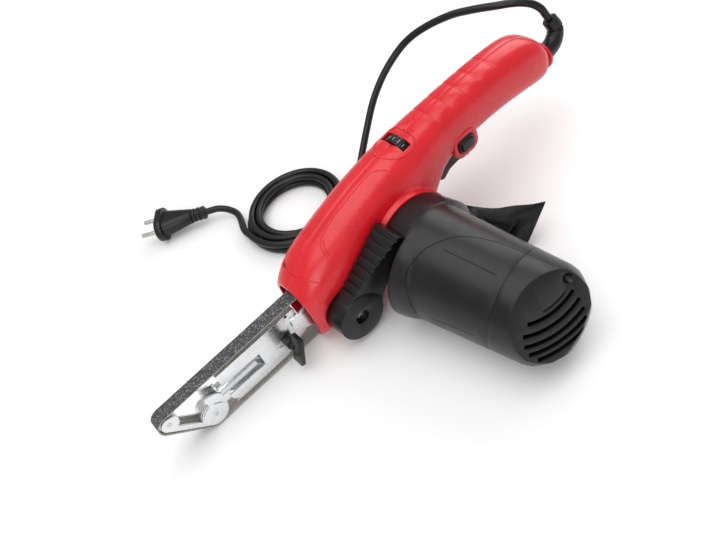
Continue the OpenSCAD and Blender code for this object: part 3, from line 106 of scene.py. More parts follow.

# %% [markdown]
# ## Small helpers
# Operators act on whatever is selected, so each step first selects one object alone.
# Every finished piece then rides on its body, stands for its CAD node and wears its material.

# %% Helpers for selecting and settling a piece
SLOT_OF = {s["node"]: s["material_slot"] for s in frame["record"]["subparts"]}
BODY_OF = {n: o["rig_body"] for n, o in frame["nodes"].items()}


def only(piece):
    """Select one object and make it the active one."""
    bpy.ops.object.select_all(action="DESELECT")
    piece.select_set(True)
    bpy.context.view_layer.objects.active = piece


def apply_all(piece):
    """Apply every modifier of a piece."""
    only(piece)
    for modifier in list(piece.modifiers):
        bpy.ops.object.modifier_apply(modifier=modifier.name)


def settle(piece, node, material, *more):
    """A finished piece rides with its node's body, replaces the node and wears a finish."""
    piece.data.materials.clear()
    for finish in (material, *more):
        piece.data.materials.append(finish)
    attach(piece, BODY_OF[node])
    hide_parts(node)
    return piece


# %% [markdown]
# ## Finishes
# A finish is a small node tree on the Principled shader. Its pattern reads Object coordinates, so it keeps
# its place on the piece in every view. Cloudy noise varies colour and gloss, and a finer noise gives the
# grain that a mould, a cutter or a plating bath leaves. Numbers that are the same all over sit on the shader
# itself. A finish is given its dark and light colour, its roughness from smooth to rough, and its grain.


# %% Building blocks of a finish
def tone(r, g, b):
    """A colour as seen on a screen, from 0 to 255, turned into the linear light the shader works in."""
    light = [c / 255 for c in (r, g, b)]
    return [c / 12.92 if c <= 0.04045 else ((c + 0.055) / 1.055) ** 2.4 for c in light] + [1.0]


NOISE_LOW, NOISE_HIGH = 0.3, 0.7


class Finish:
    """One material with its shader, and the few node patterns that the finishes here are made of."""

    def __init__(self, name, metallic=0.0, specular=0.5):
        self.material = bpy.data.materials.new(name)
        self.material.use_nodes = True
        self.tree = self.material.node_tree
        self.shader = self.tree.nodes["Principled BSDF"]
        self.shader.inputs["Metallic"].default_value = metallic
        self.shader.inputs["Specular IOR Level"].default_value = specular
        self.where = self.tree.nodes.new("ShaderNodeTexCoord").outputs["Object"]

    def join(self, source, target):
        self.tree.links.new(source, target)

    def stretched(self, x, y, z):
        node = self.tree.nodes.new("ShaderNodeMapping")
        node.inputs["Scale"].default_value = (x, y, z)
        self.join(self.where, node.inputs["Vector"])
        return node.outputs["Vector"]

    def noise(self, scale, detail=4.0, where=None):
        node = self.tree.nodes.new("ShaderNodeTexNoise")
        node.inputs["Scale"].default_value = scale
        node.inputs["Detail"].default_value = detail
        self.join(where or self.where, node.inputs["Vector"])
        return node.outputs["Fac"]

    def cells(self, scale, output="Distance"):
        node = self.tree.nodes.new("ShaderNodeTexVoronoi")
        node.inputs["Scale"].default_value = scale
        self.join(self.where, node.inputs["Vector"])
        return node.outputs[output]

    def bands(self, scale, axis):
        node = self.tree.nodes.new("ShaderNodeTexWave")
        node.bands_direction = axis
        node.inputs["Scale"].default_value = scale
        self.join(self.where, node.inputs["Vector"])
        return node.outputs["Fac"]

    def colour(self, amount, *stops):
        node = self.tree.nodes.new("ShaderNodeValToRGB")
        ramp = node.color_ramp
        while len(ramp.elements) < len(stops):
            ramp.elements.new(0.5)
        for element, (place, shade) in zip(ramp.elements, stops):
            element.position = place
            element.color = shade
        self.join(amount, node.inputs["Fac"])
        self.join(node.outputs["Color"], self.shader.inputs["Base Color"])

    def gloss(self, amount, smooth, rough):
        node = self.tree.nodes.new("ShaderNodeMapRange")
        node.inputs["From Min"].default_value = NOISE_LOW
        node.inputs["From Max"].default_value = NOISE_HIGH
        node.inputs["To Min"].default_value = smooth
        node.inputs["To Max"].default_value = rough
        self.join(amount, node.inputs["Value"])
        self.join(node.outputs["Result"], self.shader.inputs["Roughness"])

    def relief(self, height, strength, depth):
        node = self.tree.nodes.new("ShaderNodeBump")
        node.inputs["Strength"].default_value = strength
        node.inputs["Distance"].default_value = depth
        self.join(height, node.inputs["Height"])
        self.join(node.outputs["Normal"], self.shader.inputs["Normal"])

    def product(self, a, b):
        node = self.tree.nodes.new("ShaderNodeMath")
        node.operation = "MULTIPLY"
        self.join(a, node.inputs[0])
        self.join(b, node.inputs[1])
        return node.outputs["Value"]


# %% Plastics, rubber and metals
PLASTIC_CLOUD, PLASTIC_SHEEN, METAL_CLOUD = 35, 90, 60
PLASTIC_RELIEF, METAL_RELIEF = 0.35, 0.3


def plastic(name, dark, light, smooth, rough, grain, depth, specular=0.3):
    """A moulded finish, with a grain of so many cells a metre and a depth in metres."""
    f = Finish(name, specular=specular)
    f.colour(f.noise(PLASTIC_CLOUD, 5), (NOISE_LOW, tone(*dark)), (NOISE_HIGH, tone(*light)))
    f.gloss(f.noise(PLASTIC_SHEEN, 6), smooth, rough)
    f.relief(f.noise(grain, 3), PLASTIC_RELIEF, depth)
    return f.material


def metal(name, dark, light, smooth, rough, stretch, grain, depth):
    """A metal finish, whose grain is drawn out along an axis where stretch differs between them."""
    f = Finish(name, metallic=1.0)
    drawn = f.stretched(*stretch)
    f.colour(f.noise(METAL_CLOUD, 6), (NOISE_LOW, tone(*dark)), (NOISE_HIGH, tone(*light)))
    f.gloss(f.noise(grain, 5, drawn), smooth, rough)
    f.relief(f.noise(grain, 4, drawn), METAL_RELIEF, depth)
    return f.material


red_shell = plastic("red_shell", (206, 18, 31), (218, 26, 39), 0.24, 0.32, 900, 0.00001, specular=0.55)
grained_black = plastic("grained_black", (14, 14, 15), (21, 21, 23), 0.3, 0.4, 1500, 0.00008, specular=0.4)
smooth_black = plastic("smooth_black", (13, 13, 14), (19, 19, 21), 0.28, 0.38, 1100, 0.00006, specular=0.4)
drive_rubber = plastic("drive_rubber", (28, 28, 29), (44, 44, 45), 0.6, 0.8, 700, 0.0001)
cord_sheath = plastic("cord_sheath", (12, 12, 13), (20, 20, 22), 0.28, 0.4, 600, 0.00005, specular=0.4)
brush_carbon = plastic("brush_carbon", (24, 24, 25), (48, 48, 50), 0.5, 0.75, 2400, 0.00008)
board_lacquer = plastic("board_lacquer", (22, 78, 46), (34, 104, 62), 0.3, 0.45, 500, 0.00004)
plated_alloy = metal("plated_alloy", (224, 225, 227), (236, 237, 238), 0.24, 0.32, (1, 1, 1), 900, 0.00003)
turned_steel = metal("turned_steel", (196, 198, 201), (222, 223, 226), 0.18, 0.34, (1, 12, 1), 300, 0.00003)
ground_steel = metal("ground_steel", (186, 188, 192), (212, 213, 216), 0.1, 0.22, (1, 8, 1), 260, 0.00002)
black_steel = metal("black_steel", (58, 58, 60), (74, 74, 76), 0.3, 0.42, (1, 1, 1), 500, 0.00002)
stacked_iron = metal("stacked_iron", (96, 96, 100), (132, 132, 136), 0.4, 0.6, (1, 40, 1), 60, 0.0001)
wound_copper = metal("wound_copper", (172, 92, 50), (206, 124, 74), 0.3, 0.5, (1, 1, 1), 900, 0.00012)
drawn_brass = metal("drawn_brass", (190, 156, 82), (214, 182, 108), 0.22, 0.4, (1, 1, 6), 300, 0.00003)
dial_ink = plastic("dial_ink", (150, 150, 150), (176, 176, 176), 0.5, 0.6, 900, 0.00002)
nickel_pin = metal("nickel_pin", (196, 194, 188), (220, 218, 212), 0.14, 0.28, (1, 1, 1), 300, 0.00002)

# %% [markdown]
# The belt is cloth coated with grit: dark grains of different sizes, some of them catching the light.
# Cells of a Voronoi pattern give each grain its own grey and its own height. Its back is pale bare cloth.
# The bag is woven nylon, where two sets of bands cross to make the threads.

# %% Grit and cloth
GRAINS, BACK_THREADS, BAG_THREADS = 1300, 420, 380
grit = Finish("abrasive_grit", specular=0.4)
grain_greys = (0.0, tone(38, 38, 40)), (0.62, tone(70, 70, 73)), (0.9, tone(150, 150, 152))
grit.colour(grit.cells(GRAINS, "Color"), *grain_greys)
grit.gloss(grit.cells(GRAINS, "Color"), 0.5, 0.9)
grit.relief(grit.cells(GRAINS), 0.9, 0.0004)
abrasive_grit = grit.material

back = Finish("belt_backing", specular=0.2)
back.colour(back.noise(700, 6), (0.35, tone(150, 146, 138)), (0.65, tone(186, 182, 174)))
back.gloss(back.noise(200), 0.7, 0.9)
back.relief(back.product(back.bands(BACK_THREADS, "X"), back.bands(BACK_THREADS, "Y")), 0.4, 0.0001)
belt_backing = back.material

weave = Finish("bag_weave", specular=0.35)
weave.shader.inputs["Sheen Weight"].default_value = 0.1
threads = weave.product(weave.bands(BAG_THREADS, "X"), weave.bands(BAG_THREADS, "Z"))
weave.colour(threads, (0.2, tone(8, 8, 9)), (0.9, tone(22, 22, 25)))
weave.gloss(weave.noise(150), 0.5, 0.7)
weave.relief(threads, 0.5, 0.0002)
bag_weave = weave.material

FINISH_OF = {
    "red_plastic": red_shell, "black_plastic": grained_black, "cast_alloy": plated_alloy,
    "steel": turned_steel, "bearing_steel": ground_steel, "iron_core": stacked_iron,
    "copper": wound_copper, "brass": drawn_brass, "carbon": brush_carbon, "drive_rubber": drive_rubber,
    "abrasive": abrasive_grit, "bag_cloth": bag_weave, "cord_rubber": cord_sheath,
    "board": board_lacquer, "plated_pin": nickel_pin,
}
BLACKENED = {"housing_screws", "end_cap_screws"}
for node, solid in frame["nodes"].items():
    solid.data.materials.clear()
    solid.data.materials.append(black_steel if node in BLACKENED else FINISH_OF[SLOT_OF[node]])
print("finishes:", len(FINISH_OF))

# %% [markdown]
# ## The cord
# A mains lead is one length of rubber cable. A curve with a round bevel is the plain way to draw one,
# because its line is its length. The route repeats the points of the CAD source: out of the bent sleeve,
# over in an arch, down to the floor behind the body, round a coil that winds in below and out on top,
# and on to the plug.

# %% Cord route
TO_ROW = Vector((53.35, -78.5, 0))
MM = 0.001
CORD_D = 7.0
lead_route = [
    (-302.94, -5.06, 92.2), (-301, -7, 98.2), (-299, -9, 104.2), (-294.5, -13, 110.5), (-288, -18.5, 115),
    (-280, -26, 117.5), (-272, -35, 118), (-265, -46, 117.5), (-259, -57, 116), (-253, -68, 114),
    (-246, -79, 110.5), (-237, -91, 105.5), (-226, -103, 98.5), (-213, -112, 89), (-192, -117, 74.5),
    (-170, -115.5, 59), (-149.5, -109.5, 43), (-128, -100.5, 28), (-108, -91, 15.5), (-90, -82.5, 7),
    (-77, -77.5, 4), (-70, -76, 3.6), (-63.5, -76, 3.6), (-57.2, -76, 3.6),
]
tail_route = [
    (2, -135.2, 11.2), (2, -139, 11.2), (2, -143, 11.2), (0.5, -150, 10.8), (-2.5, -158, 10), (-6, -167, 9.2),
    (-8, -176, 9), (-7, -183.8, 9.8), (-4, -191, 11.2), (0.8, -197.2, 12.6), (4, -200, 13), (8, -203, 13),
    (11.8, -205.85, 13),
]
COIL_CENTRE = (-50, -128)
COIL_R, COIL_PITCH, COIL_TURNS, COIL_LIFT, COIL_Z = 52, 8, 4.25, 7.6, 3.6
COIL_STEPS = 48


def smooth_route(points, steps=4):
    """A curve through given points, with extra points between them."""
    p = [Vector(q) for q in points]
    out = []
    for i in range(len(p) - 1):
        a, b, c, d = p[max(0, i - 1)], p[i], p[i + 1], p[min(len(p) - 1, i + 2)]
        for k in range(steps):
            t = k / steps
            square = 2 * a - 5 * b + 4 * c - d
            cube = 3 * b - a - 3 * c + d
            out.append(0.5 * (2 * b + (c - a) * t + square * t**2 + cube * t**3))
    return out + [p[-1]]


def coil_point(s):
    """The coil spirals in on the floor, climbs one layer and spirals out on top."""
    r = COIL_R - COIL_PITCH * COIL_TURNS / 2 + COIL_PITCH * abs(s - COIL_TURNS / 2)
    angle = math.radians(90 - 360 * s)
    t = min(1, max(0, (s - COIL_TURNS / 2 + 0.25) * 2))
    rise = COIL_LIFT * t * t * (3 - 2 * t)
    x, y = COIL_CENTRE
    return Vector((x + r * math.cos(angle), y + r * math.sin(angle), COIL_Z + rise))


coil = [coil_point(i / COIL_STEPS) for i in range(int(COIL_STEPS * COIL_TURNS) + 1)]
route = [(q + TO_ROW) * MM for q in smooth_route(lead_route) + coil + smooth_route(tail_route)]


def round_tube(name, path, radius, roundness=5):
    """A curve along points in metres, with a round bevel of a radius in millimetres."""
    curve = bpy.data.curves.new(name, "CURVE")
    curve.dimensions = "3D"
    curve.bevel_depth = radius * MM
    curve.bevel_resolution = roundness
    curve.use_fill_caps = True
    line = curve.splines.new("POLY")
    line.points.add(len(path) - 1)
    for point, q in zip(line.points, path):
        point.co = (*q, 1)
    line.use_smooth = True
    tube = bpy.data.objects.new(name, curve)
    scene.collection.objects.link(tube)
    return tube


mains_cord = round_tube("mains_cord", route, CORD_D / 2)
settle(mains_cord, "cord_lead", cord_sheath)
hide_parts("cord_coil", "cord_tail")

# %% [markdown]
# ## Worked copies
# A CAD solid has dead sharp edges, and a moulded or cast piece never does. A copy of the node's mesh can be
# welded, freed of needless edges and bevelled by a fraction of a millimetre, so that each edge catches a
# line of light. It keeps the size and place that the solid has. A shell that lines are cut into later keeps
# its triangles, because a Boolean cuts flat faces cleanly.


# %% A worked copy of a CAD node
SHARP = math.radians(32)
FLAT = math.radians(0.4)
WELD = 0.02


def worked_copy(node, edge, merge=True):
    """Copy a node's mesh, weld it, round its sharp edges by edge millimetres and shade it smooth."""
    piece = bpy.data.objects.new(node + "_worked", frame["nodes"][node].data.copy())
    scene.collection.objects.link(piece)
    only(piece)
    bpy.ops.mesh.customdata_custom_splitnormals_clear()
    bpy.ops.object.mode_set(mode="EDIT")
    bpy.ops.mesh.select_all(action="SELECT")
    bpy.ops.mesh.remove_doubles(threshold=WELD * MM)
    if merge:
        bpy.ops.mesh.dissolve_limited(angle_limit=FLAT)
    bpy.ops.object.mode_set(mode="OBJECT")
    if edge:
        bevel = piece.modifiers.new("edge", "BEVEL")
        bevel.width = edge * MM
        bevel.segments = 2
        bevel.limit_method = "ANGLE"
        bevel.angle_limit = SHARP
        apply_all(piece)
    only(piece)
    bpy.ops.object.shade_smooth_by_angle(angle=SHARP)
    return piece


# %% [markdown]
# ## Plug and sleeve
# The plug is one rubber moulding over its contacts, so its edges are soft. So is the bent sleeve, which keeps
# the cord from kinking. The pins stay as the CAD made them.

# %% Plug and bent sleeve
plug = settle(worked_copy("plug_body", edge=0.6), "plug_body", cord_sheath)
settle(worked_copy("strain_relief", edge=0.8), "strain_relief", cord_sheath)
print("plug faces:", len(plug.data.polygons))

# %% [markdown]
# ## Housing, motor and controls
# The red halves and the black motor are injection mouldings. Their solids already have the outlines, so the
# copy only needs soft edges: half a millimetre on the shells, more on the trigger that a finger pulls,
# and very little on the knurled dial.

# %% Mouldings
MOULDED = {
    "housing_left": (0.5, red_shell), "housing_right": (0.5, red_shell),
    "belt_cover": (0.5, grained_black), "motor_housing": (0.6, grained_black),
    "motor_end_cap": (0.6, grained_black), "dust_port": (0.4, grained_black),
    "swivel_lever": (0.5, smooth_black), "trigger": (0.9, smooth_black),
    "lock_button": (0.5, smooth_black), "speed_dial": (0.15, smooth_black),
    "wing_screw": (0.5, smooth_black), "drive_wheel": (0.4, drive_rubber),
}
LINED = {"housing_left", "housing_right", "motor_housing", "motor_end_cap"}
moulded = {}
for node, (edge, material) in MOULDED.items():
    moulded[node] = settle(worked_copy(node, edge, merge=node not in LINED), node, material)
    print(node, "faces:", len(moulded[node].data.polygons))

# %% [markdown]
# ## Mould lines
# The panels of the motor shell end in thin grooves, and the red shell has a stepped panel beside its seam,
# a line behind its front edge and a raised lip round the dial. Such lines could be painted with bump, but a
# cut that is really there shades right from every side. So a thin tube is laid along each line, drawn on to
# the surface, and taken from the moulding or added to it with a Boolean.


# %% Lines on a moulding
def surface_line(pieces, points):
    """A smooth line through points in tool millimetres, drawn on to the nearest surface of the pieces."""
    line = []
    for point in smooth_route(points):
        place = (point + TO_ROW) * MM
        found = [piece.closest_point_on_mesh(place)[1] for piece in pieces]
        line.append(min(found, key=lambda q: (q - place).length))
    return line


def mould_lines(name, nodes, lines, radius, operation="DIFFERENCE"):
    """Cut or add a thin round line along each route, on every piece that the route is near."""
    pieces = [moulded[node] for node in nodes]
    bpy.context.view_layer.update()
    tubes = []
    for i, line in enumerate(lines):
        tubes.append(round_tube("%s_%d" % (name, i), surface_line(pieces, line), radius, 2))
    bpy.ops.object.select_all(action="DESELECT")
    for tube in tubes:
        tube.select_set(True)
    bpy.context.view_layer.objects.active = tubes[0]
    bpy.ops.object.convert(target="MESH")
    if len(tubes) > 1:
        bpy.ops.object.join()
    cutter = bpy.context.object
    for piece in pieces:
        boolean = piece.modifiers.new(name, "BOOLEAN")
        boolean.operation = operation
        boolean.solver = "EXACT"
        boolean.object = cutter
        apply_all(piece)
        bpy.ops.object.shade_smooth_by_angle(angle=SHARP)
    bpy.data.objects.remove(cutter)
    print(name, [len(piece.data.polygons) for piece in pieces])


def other_side(line):
    """The same line on the other half of the housing."""
    return [(x, -y, z) for x, y, z in line]


# %% Grooves of the motor shell
panel_arch = [
    (-24.8, 89.7, 39.8), (-24.2, 88.8, 48), (-24.6, 87.6, 56), (-27, 85.7, 65.3), (-30.6, 83.8, 72.1),
    (-35, 82.5, 77.2), (-40.1, 82.8, 80.5), (-52.2, 85.8, 86.6), (-64.8, 92.4, 88.5), (-74.7, 98.9, 87.7),
    (-82.6, 108.4, 85.4), (-90.3, 124.5, 81.7), (-94.9, 142.9, 78.6), (-97.9, 157.3, 76.3), (-99, 164, 75.2),
]
panel_line = [
    (-60.4, 98, 86.9), (-62, 107.6, 85.7), (-64, 120, 84.2), (-66, 132.1, 82.7), (-67.5, 141.6, 81.5),
]
low_line = [(-27.8, 104.1, 42.2), (-30.2, 115.8, 43.2), (-33.1, 128.6, 43.5), (-35.6, 140, 43.4)]
MOTOR_LINE_R, SHELL_LINE_R, LIP_R = 0.5, 0.6, 0.8
motor_grooves = [panel_arch, panel_line, low_line]
mould_lines("motor_groove", ["motor_housing", "motor_end_cap"], motor_grooves, MOTOR_LINE_R)

# %% Lines of the red shell
side_panel = [
    (-85.6, 15.8, 102.6), (-80.9, 11.1, 104.2), (-76, 7.2, 104.2), (-70.3, 6.5, 103.3), (-60.1, 6.3, 101.3),
    (-44.2, 6.3, 97.3), (-30.9, 6.2, 93.3), (-20.3, 7.1, 89.7), (-13.3, 8.4, 87.1), (-9.1, 11.1, 85.2),
    (-6.7, 15.4, 82.5), (-6.6, 20.5, 78.8),
]
inner_hook = [(-13.4, 11.6, 86.5), (-11, 13.4, 84.9), (-8.9, 17.2, 81.9), (-8.6, 20.8, 79)]
hood_line = [(20.4, 0.6, 70.8), (20.2, 4.3, 70.9), (18.4, 12.4, 70.9), (15, 19.1, 69.6), (10.4, 24, 66.9)]
dial_lip = [
    (-89.6, 0.9, 107.3), (-91.2, 6.8, 106.9), (-94.8, 12.1, 105.6), (-100.8, 15.8, 104),
    (-107.7, 16.8, 103.5), (-113.8, 16, 104.6), (-118.1, 13.9, 106.5), (-120.9, 9, 108.2), (-122, 0.9, 108.6),
]
shell_grooves = [side_panel, inner_hook, hood_line]
mould_lines("left_groove", ["housing_left"], shell_grooves, SHELL_LINE_R)
mould_lines("right_groove", ["housing_right"], [other_side(line) for line in shell_grooves], SHELL_LINE_R)
mould_lines("left_lip", ["housing_left"], [dial_lip], LIP_R, "UNION")
mould_lines("right_lip", ["housing_right"], [other_side(dial_lip)], LIP_R, "UNION")

# %% [markdown]
# ## Numbers on the dial
# The thumb wheel carries plain numbers round its rim. Text is made, turned into a mesh, and each number is
# laid on the rim at its own turn, so that a few of them show in the slot.

# %% Dial numbers
DIAL_AXIS = Vector((-110.007, 0, 95.7877))
DIAL_R = 14.0
NUMBER_STEP = 21
NUMBER_H, NUMBER_T = 4.4, 0.1
FIRST_STEPS = 2
numbers = []
for i, mark in enumerate("123456"):
    bpy.ops.object.select_all(action="DESELECT")
    bpy.ops.object.text_add()
    number = bpy.context.object
    number.data.body = mark
    number.data.size = NUMBER_H * MM
    number.data.extrude = NUMBER_T * MM
    number.data.align_x = "CENTER"
    number.data.align_y = "CENTER"
    bpy.ops.object.convert(target="MESH")
    spin = math.radians((FIRST_STEPS - i) * NUMBER_STEP)
    outward = Vector((0, math.sin(spin), math.cos(spin)))
    along = Vector((1, 0, 0))
    across = along.cross(outward)
    rim = (DIAL_AXIS + TO_ROW + outward * DIAL_R) * MM
    facing = Matrix((across, along, outward)).transposed().to_4x4()
    number.matrix_world = Matrix.Translation(rim) @ facing
    bpy.ops.object.transform_apply(location=True, rotation=True, scale=True)
    numbers.append(number)
bpy.ops.object.select_all(action="DESELECT")
for number in numbers:
    number.select_set(True)
bpy.context.view_layer.objects.active = numbers[0]
bpy.ops.object.join()
dial_numbers = bpy.context.object
dial_numbers.name = "dial_numbers"
dial_numbers.data.materials.clear()
dial_numbers.data.materials.append(dial_ink)
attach(dial_numbers, BODY_OF["speed_dial"])
print("dial numbers:", len(numbers))

# %% [markdown]
# ## Arm, nose and rollers
# The arm and the nose are cast and plated, the rail is stamped, and the rollers are turned on a lathe.

# %% Metal pieces
METAL = {
    "arm_frame": (0.25, plated_alloy), "nose_fork": (0.25, plated_alloy), "arm_rail": (0.2, turned_steel),
    "idler_roller": (0.4, plated_alloy), "tip_roller": (0.3, turned_steel),
    "plunger_rod": (0.3, turned_steel), "tip_pin": (0.2, turned_steel),
    "idler_pin": (0.2, turned_steel), "lever_screw": (0.2, turned_steel),
}
for node, (edge, material) in METAL.items():
    settle(worked_copy(node, edge), node, material)
print("metal pieces:", len(METAL))

# %% [markdown]
# ## Springs
# A coil spring in the arm pushes the nose forward and keeps the belt tight, and a short one pushes the
# trigger out. Each is one wire wound to a helix, so a round tube along that helix is the plain way to draw
# it.


# %% Wound springs
WIND_STEPS = 20


def wound_spring(name, node, foot, head, radius, wire, turns):
    """A wire wound round the line from foot to head, both in metres; radius and wire in millimetres."""
    across = Vector((0, 1, 0))
    upward = (head - foot).normalized().cross(across)
    winds = turns * WIND_STEPS
    helix = []
    for i in range(winds + 1):
        angle = math.tau * i / WIND_STEPS
        ring = across * math.cos(angle) + upward * math.sin(angle)
        helix.append(foot.lerp(head, i / winds) + ring * radius * MM)
    spring = round_tube(name, helix, wire, 3)
    only(spring)
    bpy.ops.object.convert(target="MESH")
    bpy.ops.object.shade_smooth()
    print(name, "faces:", len(spring.data.polygons))
    return settle(spring, node, turned_steel)


NOSE_R, NOSE_WIRE, NOSE_TURNS = 3.4, 0.6, 9
nose_foot = (Vector((56.6, 0, 26)) + TO_ROW) * MM
nose_head = (Vector((84.1, 0, 26)) + TO_ROW) * MM
nose_spring = wound_spring(
    "nose_spring", "tension_spring", nose_foot, nose_head, NOSE_R, NOSE_WIRE, NOSE_TURNS
)
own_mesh(nose_spring)

RETURN_R, RETURN_WIRE, RETURN_TURNS = 2.3, 0.2, 3
low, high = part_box("trigger_spring")
spring_middle = (low + high) / 2
return_foot = Vector((spring_middle.x, spring_middle.y, low.z + RETURN_WIRE * MM))
return_head = Vector((spring_middle.x, spring_middle.y, high.z - RETURN_WIRE * MM))
return_spring = wound_spring(
    "return_spring", "trigger_spring", return_foot, return_head, RETURN_R, RETURN_WIRE, RETURN_TURNS
)
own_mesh(return_spring)

# %% [markdown]
# ## Abrasive belt
# The belt is one closed loop with grit outside and bare cloth inside. Both sides belong to one mesh,
# and the faces that look towards the middle of the loop get the cloth.

# %% Belt with two sides
belt = worked_copy("abrasive_belt", edge=0)
low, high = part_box("abrasive_belt")
middle = (low + high) / 2
settle(belt, "abrasive_belt", abrasive_grit, belt_backing)
inner = 0
for face in belt.data.polygons:
    inward = middle - face.center
    if abs(face.normal.y) > 0.5 or face.normal.dot(Vector((inward.x, 0, inward.z))) > 0:
        face.material_index = 1
        inner += 1
print("belt faces with backing:", inner)

# %% [markdown]
# ## Dust bag
# The bag is a slack pouch of black nylon on the dust outlet, two flat sheets sewn together at the top, below
# and at the far end. A loft alone looks inflated and stiff. So the pouch is round at its mouth and thins to
# the straight seam at its end, its upper edge sinks behind the outlet, and the folds of a bag from a box are
# pressed into it.


# %% Pouch
BAG_UPPER = [
    (-126.2, 54, 44.6), (-131, 58, 41.5), (-140, 67, 37.5), (-150, 76, 36.5), (-161, 85.5, 34.5),
    (-171.5, 92, 32),
]
BAG_LOWER = [
    (-126.2, 54, 15.4), (-128, 57, 11), (-130, 66, 4.5), (-132, 75, 2.5), (-135.5, 84, 2.2), (-139, 92, 2.2),
]
BAG_HALF = [14.6, 15, 13.5, 10.5, 6, 0.8]
MOUTH_SIDE, SEAM_SIDE = Vector((0, 1, 0)), Vector((0.52, 0.58, 0.57))
BAG_AROUND, BAG_STEPS = 64, 10
FLATNESS = 0.7
FOLD_DEPTH = 5
GATHERS, GATHER_DEPTH, GATHER_AT, GATHER_WIDTH = 9, 0.7, 0.1, 0.09
CORNER_FROM, CORNER_TO = (0.62, 0.62), (0.98, 0.92)
CORNER_WIDTH, CORNER_AT, CORNER_REACH = 0.13, 0.85, 0.2
LOWER_AT, LOWER_SLANT, LOWER_WIDTH, LOWER_HEIGHT, LOWER_REACH = 0.62, 0.12, 0.05, -0.05, 0.35
UPPER_HEIGHT, UPPER_SLANT, UPPER_WIDTH, UPPER_AT, UPPER_REACH, UPPER_SHARE = 0.45, 0.5, 0.12, 0.3, 0.2, 0.4
FLOOR_GAP = 0.6
WRINKLE_SIZE, WRINKLE_DEPTH = 13, 2.2
BAG_CREASE = math.radians(50)
uppers = smooth_route(BAG_UPPER, BAG_STEPS)
lowers = smooth_route(BAG_LOWER, BAG_STEPS)
halves = [q.x for q in smooth_route([(half, 0, 0) for half in BAG_HALF], BAG_STEPS)]
bag_rings = len(uppers) - 1


def bump(x, middle, width):
    """A soft hill of height 1."""
    return math.exp(-(((x - middle) / width) ** 2))


def bag_fold(way, height):
    """Depth of the pressed folds, at a share of the way to the seam and a height between the two edges."""
    start, start_height = CORNER_FROM
    end, end_height = CORNER_TO
    climb = (end_height - start_height) * max(0, way - start) / (end - start)
    corner = bump(height, start_height + climb, CORNER_WIDTH) * bump(way, CORNER_AT, CORNER_REACH)
    across = bump(way, LOWER_AT + LOWER_SLANT * height, LOWER_WIDTH)
    lower = across * bump(height, LOWER_HEIGHT, LOWER_REACH)
    along = bump(height, UPPER_HEIGHT - UPPER_SLANT * way, UPPER_WIDTH)
    upper = UPPER_SHARE * along * bump(way, UPPER_AT, UPPER_REACH)
    return FOLD_DEPTH * max(corner, lower, upper)


bpy.ops.object.select_all(action="DESELECT")
bpy.ops.mesh.primitive_grid_add(x_subdivisions=BAG_AROUND, y_subdivisions=bag_rings, size=2)
bag = bpy.context.object
bag.name = "dust_pouch"
for vertex in bag.data.vertices:
    way = (vertex.co.y + 1) / 2
    turn = math.pi * (vertex.co.x + 1)
    ring = round(way * bag_rings)
    middle = (uppers[ring] + lowers[ring]) / 2
    upright = (uppers[ring] - lowers[ring]) / 2
    side = MOUTH_SIDE.lerp(SEAM_SIDE, way).normalized()
    swell = math.cos(turn) * abs(math.cos(turn)) ** (FLATNESS * way)
    press = bag_fold(way, math.sin(turn)) * max(0, swell) ** 0.5
    gather = GATHER_DEPTH * math.cos(GATHERS * turn) * bump(way, GATHER_AT, GATHER_WIDTH)
    place = middle + upright * math.sin(turn) + side * (halves[ring] * swell - press + gather * swell)
    place.z = max(place.z, FLOOR_GAP)
    vertex.co = (place + TO_ROW) * MM
bpy.ops.object.mode_set(mode="EDIT")
bpy.ops.mesh.select_all(action="SELECT")
bpy.ops.mesh.remove_doubles(threshold=WELD * MM / 2)
bpy.ops.mesh.fill_holes(sides=0)
bpy.ops.mesh.select_all(action="SELECT")
bpy.ops.mesh.normals_make_consistent(inside=False)
bpy.ops.object.mode_set(mode="OBJECT")
wrinkles = bpy.data.textures.new("bag_wrinkles", "CLOUDS")
wrinkles.noise_scale = WRINKLE_SIZE * MM
crumple = bag.modifiers.new("wrinkles", "DISPLACE")
crumple.texture = wrinkles
crumple.texture_coords = "LOCAL"
crumple.strength = WRINKLE_DEPTH * MM
finer = bag.modifiers.new("finer", "SUBSURF")
finer.levels = finer.render_levels = 1
apply_all(bag)
only(bag)
bpy.ops.object.shade_smooth_by_angle(angle=BAG_CREASE)
settle(bag, "dust_bag", bag_weave)
print("bag faces:", len(bag.data.polygons))

# %% [markdown]
# ## Floor and light
# The tool stands on a plain pale floor that fades to the white of the page, as a cut-out photograph does.
# Only what the camera sees directly turns white, so no light is added. Large soft lamps stand for the
# photographer's softboxes: one above, one at the camera's side and a weaker one behind.

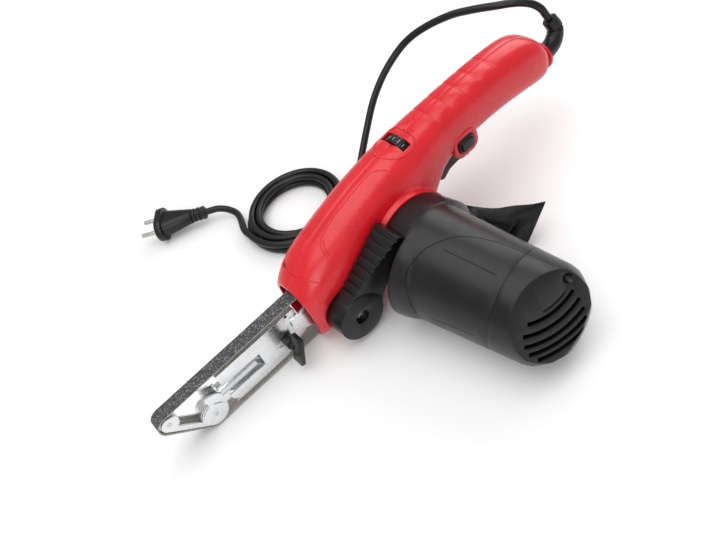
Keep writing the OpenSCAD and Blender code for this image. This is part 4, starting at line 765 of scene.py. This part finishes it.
# %% Floor
FLOOR_NEAR, FLOOR_FAR = 0.3, 0.62
FLOOR_SIDE, FLOOR_DROP = 12, 0.0002
bpy.ops.object.select_all(action="DESELECT")
bpy.ops.mesh.primitive_plane_add(size=FLOOR_SIDE, location=(0, 0, -FLOOR_DROP))
floor = bpy.context.object
floor.name = "floor"
pale = Finish("floor_paper", specular=0.35)
pale.colour(pale.noise(2), (0.3, tone(244, 244, 244)), (0.7, tone(248, 248, 248)))
pale.gloss(pale.noise(5), 0.42, 0.5)
nodes = pale.tree.nodes
distance = nodes.new("ShaderNodeVectorMath")
distance.operation = "LENGTH"
pale.join(pale.where, distance.inputs[0])
fade = nodes.new("ShaderNodeMapRange")
fade.inputs["From Min"].default_value = FLOOR_NEAR
fade.inputs["From Max"].default_value = FLOOR_FAR
pale.join(distance.outputs["Value"], fade.inputs["Value"])
seen = nodes.new("ShaderNodeLightPath").outputs["Is Camera Ray"]
white = nodes.new("ShaderNodeEmission")
blend = nodes.new("ShaderNodeMixShader")
pale.join(pale.product(fade.outputs["Result"], seen), blend.inputs[0])
pale.join(pale.shader.outputs["BSDF"], blend.inputs[1])
pale.join(white.outputs["Emission"], blend.inputs[2])
pale.join(blend.outputs["Shader"], nodes["Material Output"].inputs["Surface"])
floor.data.materials.append(pale.material)
print("floor fades to white from %.2f m" % FLOOR_NEAR)

# %% Lamps and world
WORLD_LIGHT = 0.48
LAMPS = {
    "softbox_above": ((0.1, -0.1, 1.5), (0, 0, 0.05), 1.6, 14.5),
    "softbox_front": ((1.0, 1.0, 0.9), (0, 0, 0.05), 1.0, 7.5),
    "softbox_behind": ((-1.1, -0.5, 0.8), (0, 0, 0.05), 0.9, 6),
}
for name, (place, aim, side, watts) in LAMPS.items():
    lamp_data = bpy.data.lights.new(name, "AREA")
    lamp_data.size = side
    lamp_data.energy = watts
    lamp = bpy.data.objects.new(name, lamp_data)
    scene.collection.objects.link(lamp)
    lamp.location = place
    lamp.rotation_euler = (Vector(aim) - Vector(place)).to_track_quat("-Z", "Y").to_euler()
world = bpy.data.worlds.new("studio")
world.use_nodes = True
scene.world = world
world_tree = world.node_tree
dim = world_tree.nodes["Background"]
dim.inputs["Color"].default_value = (1, 1, 1, 1)
dim.inputs["Strength"].default_value = WORLD_LIGHT
page = world_tree.nodes.new("ShaderNodeBackground")
page.inputs["Color"].default_value = (1, 1, 1, 1)
choose = world_tree.nodes.new("ShaderNodeMixShader")
look = world_tree.nodes.new("ShaderNodeLightPath").outputs["Is Camera Ray"]
world_tree.links.new(look, choose.inputs[0])
world_tree.links.new(dim.outputs["Background"], choose.inputs[1])
world_tree.links.new(page.outputs["Background"], choose.inputs[2])
world_tree.links.new(choose.outputs["Shader"], world_tree.nodes["World Output"].inputs["Surface"])
print("lamps:", len(LAMPS))
